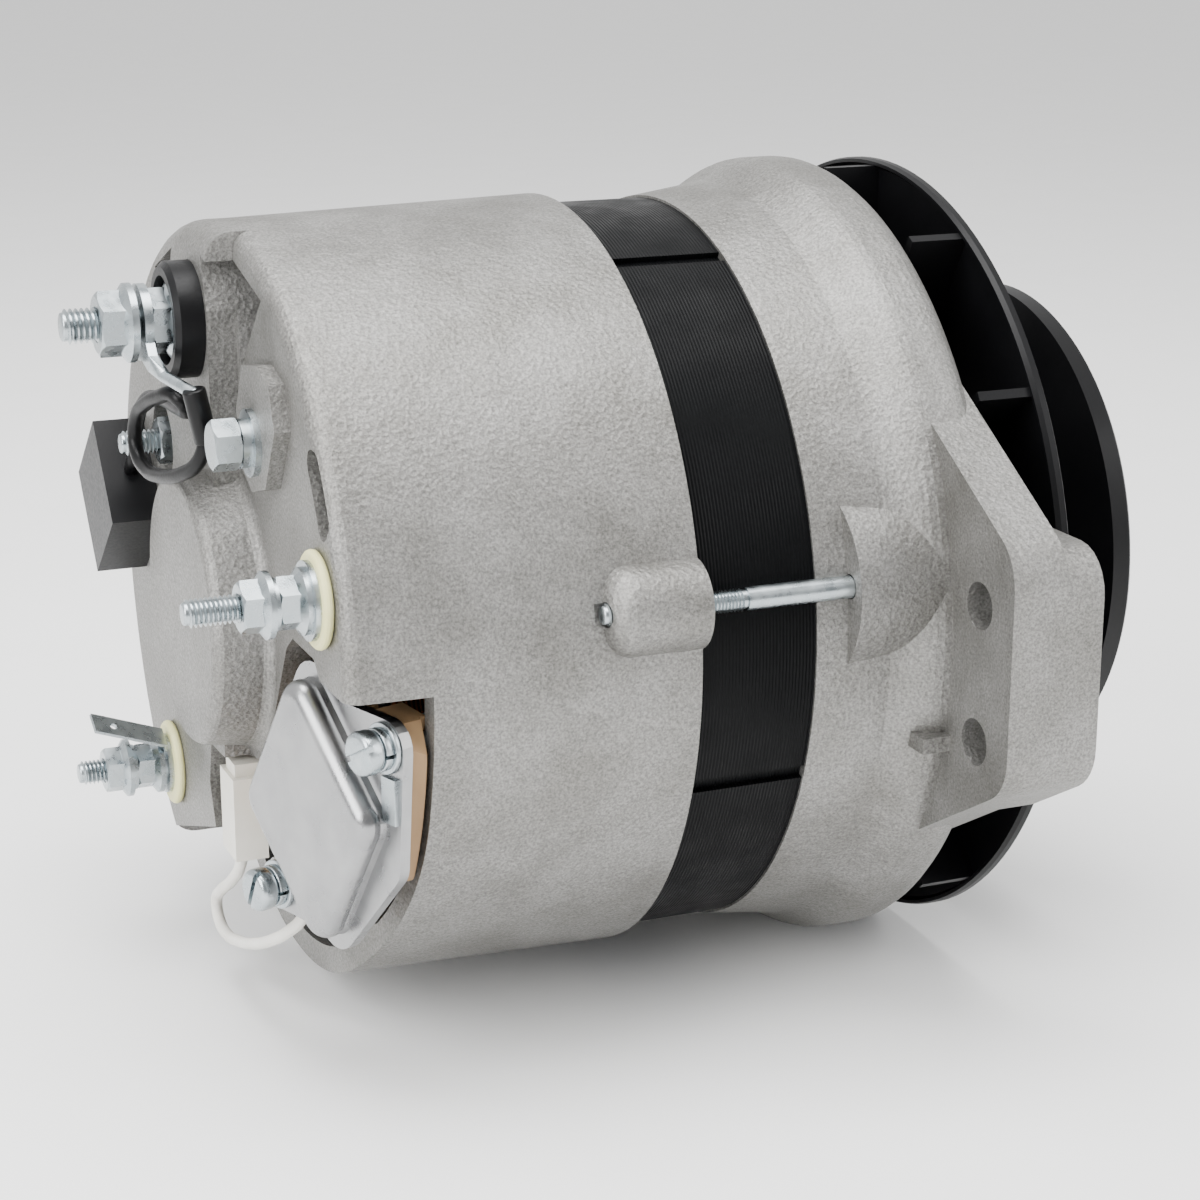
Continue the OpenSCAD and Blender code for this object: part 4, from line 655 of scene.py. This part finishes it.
capacitor_route = [
    (-88.5, -21.5, 44.5), (-89, -21.5, 41.5), (-90.2, -19, 37.8), (-92, -13.5, 34.8),
    (-93.2, -8, 33), (-94.2, 0, 31.5), (-95, 9, 31), (-95.6, 15.5, 33.5), (-95.6, 17.5, 37.5),
    (-95.2, 15.5, 42.5), (-94.4, 9, 46.5), (-93, 1, 49.5), (-91.5, -4, 50.8), (-89.8, -6.5, 49.3),
    (-88.2, -3.5, 46.8), (-87.5, 6, 45.3), (-87.4, 18, 44.6), (-87.5, 30, 43.3), (-88, 40, 40.5),
    (-88.8, 45.5, 34.5), (-89.6, 46, 28.5), (-90, 47.4, 24), (-90, 50.2, 21.7)]
regulator_route = [
    (-81, -9.5, -58), (-81.2, -8, -62), (-82, -2, -68), (-83, 5, -73), (-83, 10, -78),
    (-83, 8, -81.5), (-83, 0, -82.5), (-83, -10, -80), (-82.5, -22, -76), (-81, -33, -71),
    (-78.5, -39.5, -66.5), (-76, -41.6, -63), (-75.2, -41.6, -59.5)]
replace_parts(lead("smooth_capacitor_lead", capacitor_route, 1.7, black_sleeve),
            "capacitor_lead")
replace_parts(lead("smooth_regulator_lead", regulator_route, 1.4, white_sleeve),
            "regulator_lead")

# %% [markdown]
# ## Floor and light
# The photograph was taken in a white tent: light comes from large white panels on all sides. A
# pale floor and three large area lights give the same soft shading. The tent is open towards the
# camera, so its wall is darker on that side, and metal that faces the camera has something dark
# to reflect.

# %% Floor and light
clear()
bpy.ops.mesh.primitive_plane_add(size=16, location=(0, 0, cad_box[0][2] - 0.001))
floor = bpy.context.object
floor.name = "floor"
paper, tree, shader, place = new_finish("matt_white_paper", Roughness=0.9)
fibre = put(tree, "TexNoise", {"Vector": place, "Scale": size(40), "Detail": 3})
tint = put(tree, "Mix", {0: fibre.outputs["Fac"], 6: shade("#F4F4F3"), 7: shade("#F8F8F8")},
           data_type="RGBA")
tree.links.new(tint.outputs[2], shader.inputs["Base Color"])
floor.data.materials.append(paper)


def panel(name, place, aim, width, height, watts):
    """A soft rectangular light that faces a point."""
    data = bpy.data.lights.new(name, "AREA")
    data.shape = "RECTANGLE"
    data.size = width
    data.size_y = height
    data.energy = watts
    lamp = bpy.data.objects.new(name, data)
    lamp.location = place
    lamp.rotation_euler = (Vector(aim) - Vector(place)).to_track_quat("-Z", "Y").to_euler()
    bpy.context.scene.collection.objects.link(lamp)
    return lamp


middle = (-0.1, 0, 0)
panel("top_panel", (-0.2, -0.1, 1.1), middle, 1.0, 0.8, 26)
panel("left_panel", (-1.1, -0.5, 0.6), middle, 0.7, 0.9, 20)
panel("right_panel", (0.9, -0.7, 0.5), middle, 0.6, 0.9, 9)
world = bpy.data.worlds.new("white_tent")
world.use_nodes = True
tree = world.node_tree
sky = put(tree, "SeparateXYZ", {"Vector": put(tree, "TexCoord").outputs["Generated"]})
wall = put(tree, "MapRange", {"Value": sky.outputs["Y"], 1: -0.9, 2: 0.4, 3: 0.55, 4: 1.35})
tree.nodes["Background"].inputs["Color"].default_value = shade("#FFFFFF")
tree.links.new(wall.outputs[0], tree.nodes["Background"].inputs["Strength"])
bpy.context.scene.world = world
